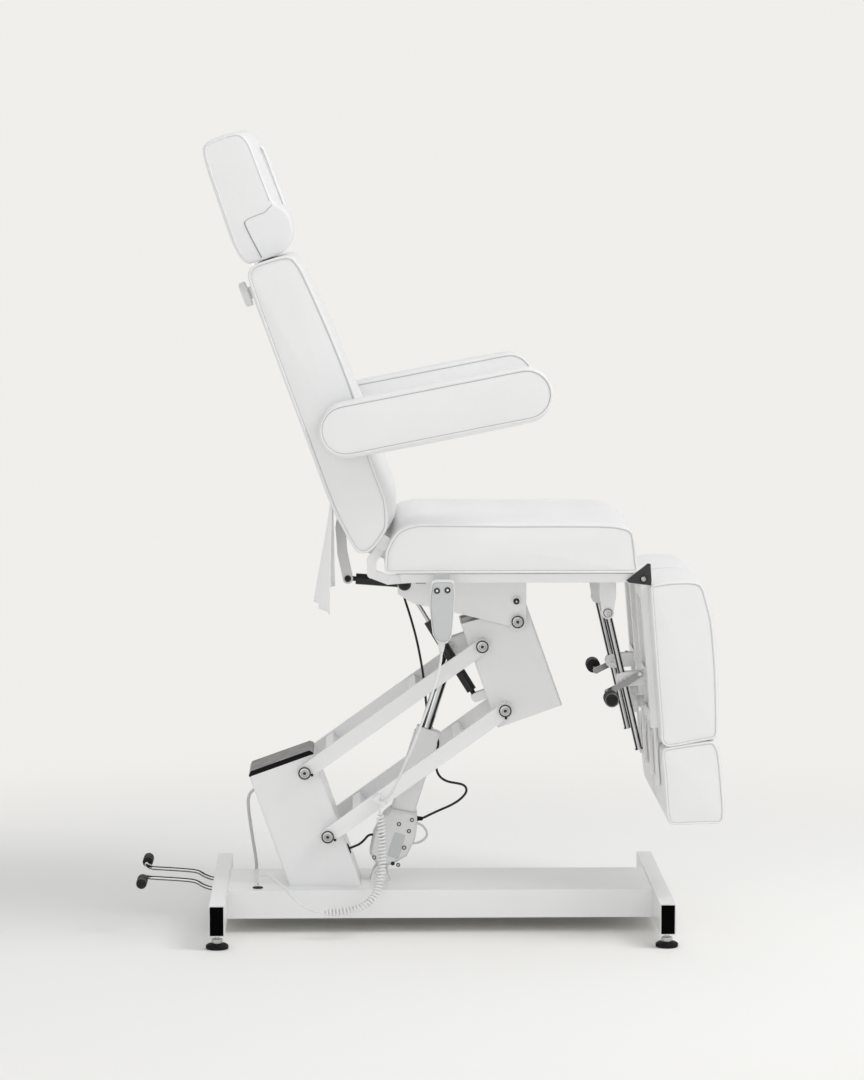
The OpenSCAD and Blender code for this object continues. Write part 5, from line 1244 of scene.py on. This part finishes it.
class CHAIR_OT_handset(Piece, bpy.types.Operator):
    """Grey face with its rim, the buttons' centres and the ribbed strain relief of the handset"""
    bl_idname = "chair.handset"
    bl_label = "Handset face"

    def build(self, sizes):
        wide, tall, left, low = 50, 120, -180, -111
        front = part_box("handset")[0][1] / MM
        face_shares = [(0.1, 0.98), (0, 0.62), (0.14, 0.14), (0.3, 0.02), (0.68, 0), (0.86, 0.1),
                       (0.99, 0.72), (0.96, 0.98), (0.88, 1), (0.2, 1)]
        mid_x, mid_z = -155.5, -50
        body = shares_to(face_shares, wide, tall, left, low)[::-1]
        face = closed_outline([(mid_x + (x - mid_x) * 0.86, mid_z + (z - mid_z) * 0.93) for x, z in body], 64)
        plaque("handset_face", SEAT, face, front, 0.8, "seat")
        # Dark rim round the face, in the seam shade look: painted shade in the gap round the face
        rim_r = 0.6
        rim = [SEAT @ Vector((x, front - 0.2, z)) for x, z in face]
        make("handset_rim", tube_data(rim, rim_r * MM, 6, closed=True), "seat", "pale_plastic", look="line")
        for name, x_share, z_share in (("button_up", 0.3, 0.84), ("button_down", 0.7, 0.85)):
            place = across(SEAT, left + x_share * wide, front - 2, low + z_share * tall, -1)
            dot = lathe_data([(2.4, -0.5), (2.4, 0.4), (1.9, 0.8)], place, 24)
            make(name + "_centre", dot, name, "pale_plastic", look="white plastic", sharp=40)
        relief = [(7.4, -3)]
        for k in range(6):
            r, z = 6.9 - k * 0.5, k * 3.6
            relief += [(r, z), (r, z + 1.9), (r - 1.5, z + 2.2), (r - 1.5, z + 3.3)]
        relief += [(3.4, 21.6), (2.7, 24)]
        place = BASE @ Matrix.Translation((-3, -318, 601)) @ Matrix.Rotation(math.pi, 4, "X")
        make("handset_relief", lathe_data(relief, place, 28), "seat", "cord_white", look="white plastic",
             sharp=40)


class CHAIR_OT_actuator(Piece, bpy.types.Operator):
    """Screws and bare plate on the actuator's housing, its grey loop and the gland of its cable"""
    bl_idname = "chair.actuator"
    bl_label = "Actuator details"

    def build(self, sizes):
        skin = -34
        screws = ((5.8, 107.3), (28, 123), (29, 99.7), (-21, 74.4), (30, 65.2), (-21, 28.5), (29, 28.5))
        places = [across(PUSH, x, skin, z, -1) for x, z in screws]
        washer = [(4.1, -1), (4.1, 0.8), (3.6, 1.4), (2.6, 1.4), (2.5, 0.2)]
        rings = [lathe_data(washer, p, 24) for p in places]
        rings.append(lathe_data([(4.1, -1), (4.1, 0.8), (3.2, 1.6)], across(PUSH, 17.8, skin, 28, -1), 24))
        dots = [lathe_data([(2.5, -1), (2.5, 0.7), (1.2, 0.8)], p, 16) for p in places]
        make("housing_screws", joined(rings), "actuator", "spring_black", sharp=40)
        make("housing_screw_centres", joined(dots), "actuator", "bolt_steel", sharp=40)
        plate = [(4, 90), (24, 90), (25.5, 88), (25.5, 42), (24, 40), (4, 40), (2.5, 42), (2.5, 88)]
        plaque("housing_plate", PUSH, closed_outline(plate[::-1], 64), skin, 0.7, "actuator")
        loop_route = [(30, -26, 119), (40, -27, 119), (52, -28, 117), (62, -28, 110), (66, -28, 100),
                      (60, -28, 88), (50, -27, 80), (40, -26, 77), (30, -26, 77)]
        loop_r = 2.3
        loop = [PUSH @ v for v in smooth_route(loop_route)]
        make("housing_loop", tube_data(loop, loop_r * MM), "actuator", "cord_grey")
        place = PUSH @ Matrix.Translation((37.4, -20, 126.6)) @ Matrix.Rotation(math.radians(73), 4, "Y")
        gland = lathe_data([(5.6, -3), (5.6, 1.5), (4.6, 2), (4.2, 9), (3.2, 12)], place, 24)
        make("cable_gland", gland, "actuator", "black_rubber")


class CHAIR_OT_finishes(Piece, bpy.types.Operator):
    """Finishes of the CAD pieces that stay in view"""
    bl_idname = "chair.finishes"
    bl_label = "Finishes"

    def build(self, sizes):
        for row in frame["record"]["subparts"]:
            obj = frame["nodes"][row["node"]]
            finish = finish_of(OWN_LOOKS.get(row["node"], row["material_slot"]))
            if not obj.material_slots:
                obj.data.materials.append(finish)
            for slot in obj.material_slots:
                slot.material = finish


class CHAIR_PT_panel(bpy.types.Panel):
    """Lists the chair's pieces, sizes and colours"""
    bl_label = "Podiatry chair"
    bl_idname = "CHAIR_PT_panel"
    bl_space_type = "VIEW_3D"
    bl_region_type = "UI"
    bl_category = "Chair"

    def draw(self, context):
        for group in (context.scene.chair_colours, context.scene.chair_sizes):
            for name in group.bl_rna.properties.keys():
                if name not in ("rna_type", "name"):
                    self.layout.prop(group, name)
        for operator in OPERATORS:
            self.layout.operator(operator.bl_idname)


OPERATORS = (CHAIR_OT_stage, CHAIR_OT_hand_cord, CHAIR_OT_mains, CHAIR_OT_held_cables, CHAIR_OT_seat_pad,
             CHAIR_OT_back_pad, CHAIR_OT_headrest, CHAIR_OT_armrests, CHAIR_OT_leg_pads, CHAIR_OT_settle,
             CHAIR_OT_slides, CHAIR_OT_seams, CHAIR_OT_apron, CHAIR_OT_feet, CHAIR_OT_pedals,
             CHAIR_OT_bolts, CHAIR_OT_levers, CHAIR_OT_handset, CHAIR_OT_actuator, CHAIR_OT_finishes)
CLASSES = (ChairColours, ChairSizes, *OPERATORS, CHAIR_PT_panel)


def register():
    for cls in CLASSES:
        bpy.utils.register_class(cls)
    bpy.types.Scene.chair_colours = bpy.props.PointerProperty(type=ChairColours)
    bpy.types.Scene.chair_sizes = bpy.props.PointerProperty(type=ChairSizes)


def unregister():
    del bpy.types.Scene.chair_sizes
    del bpy.types.Scene.chair_colours
    for cls in reversed(CLASSES):
        bpy.utils.unregister_class(cls)


def main():
    register()
    for operator in OPERATORS:
        group, name = operator.bl_idname.split(".")
        getattr(getattr(bpy.ops, group), name)()


if __name__ == "__main__":
    main()
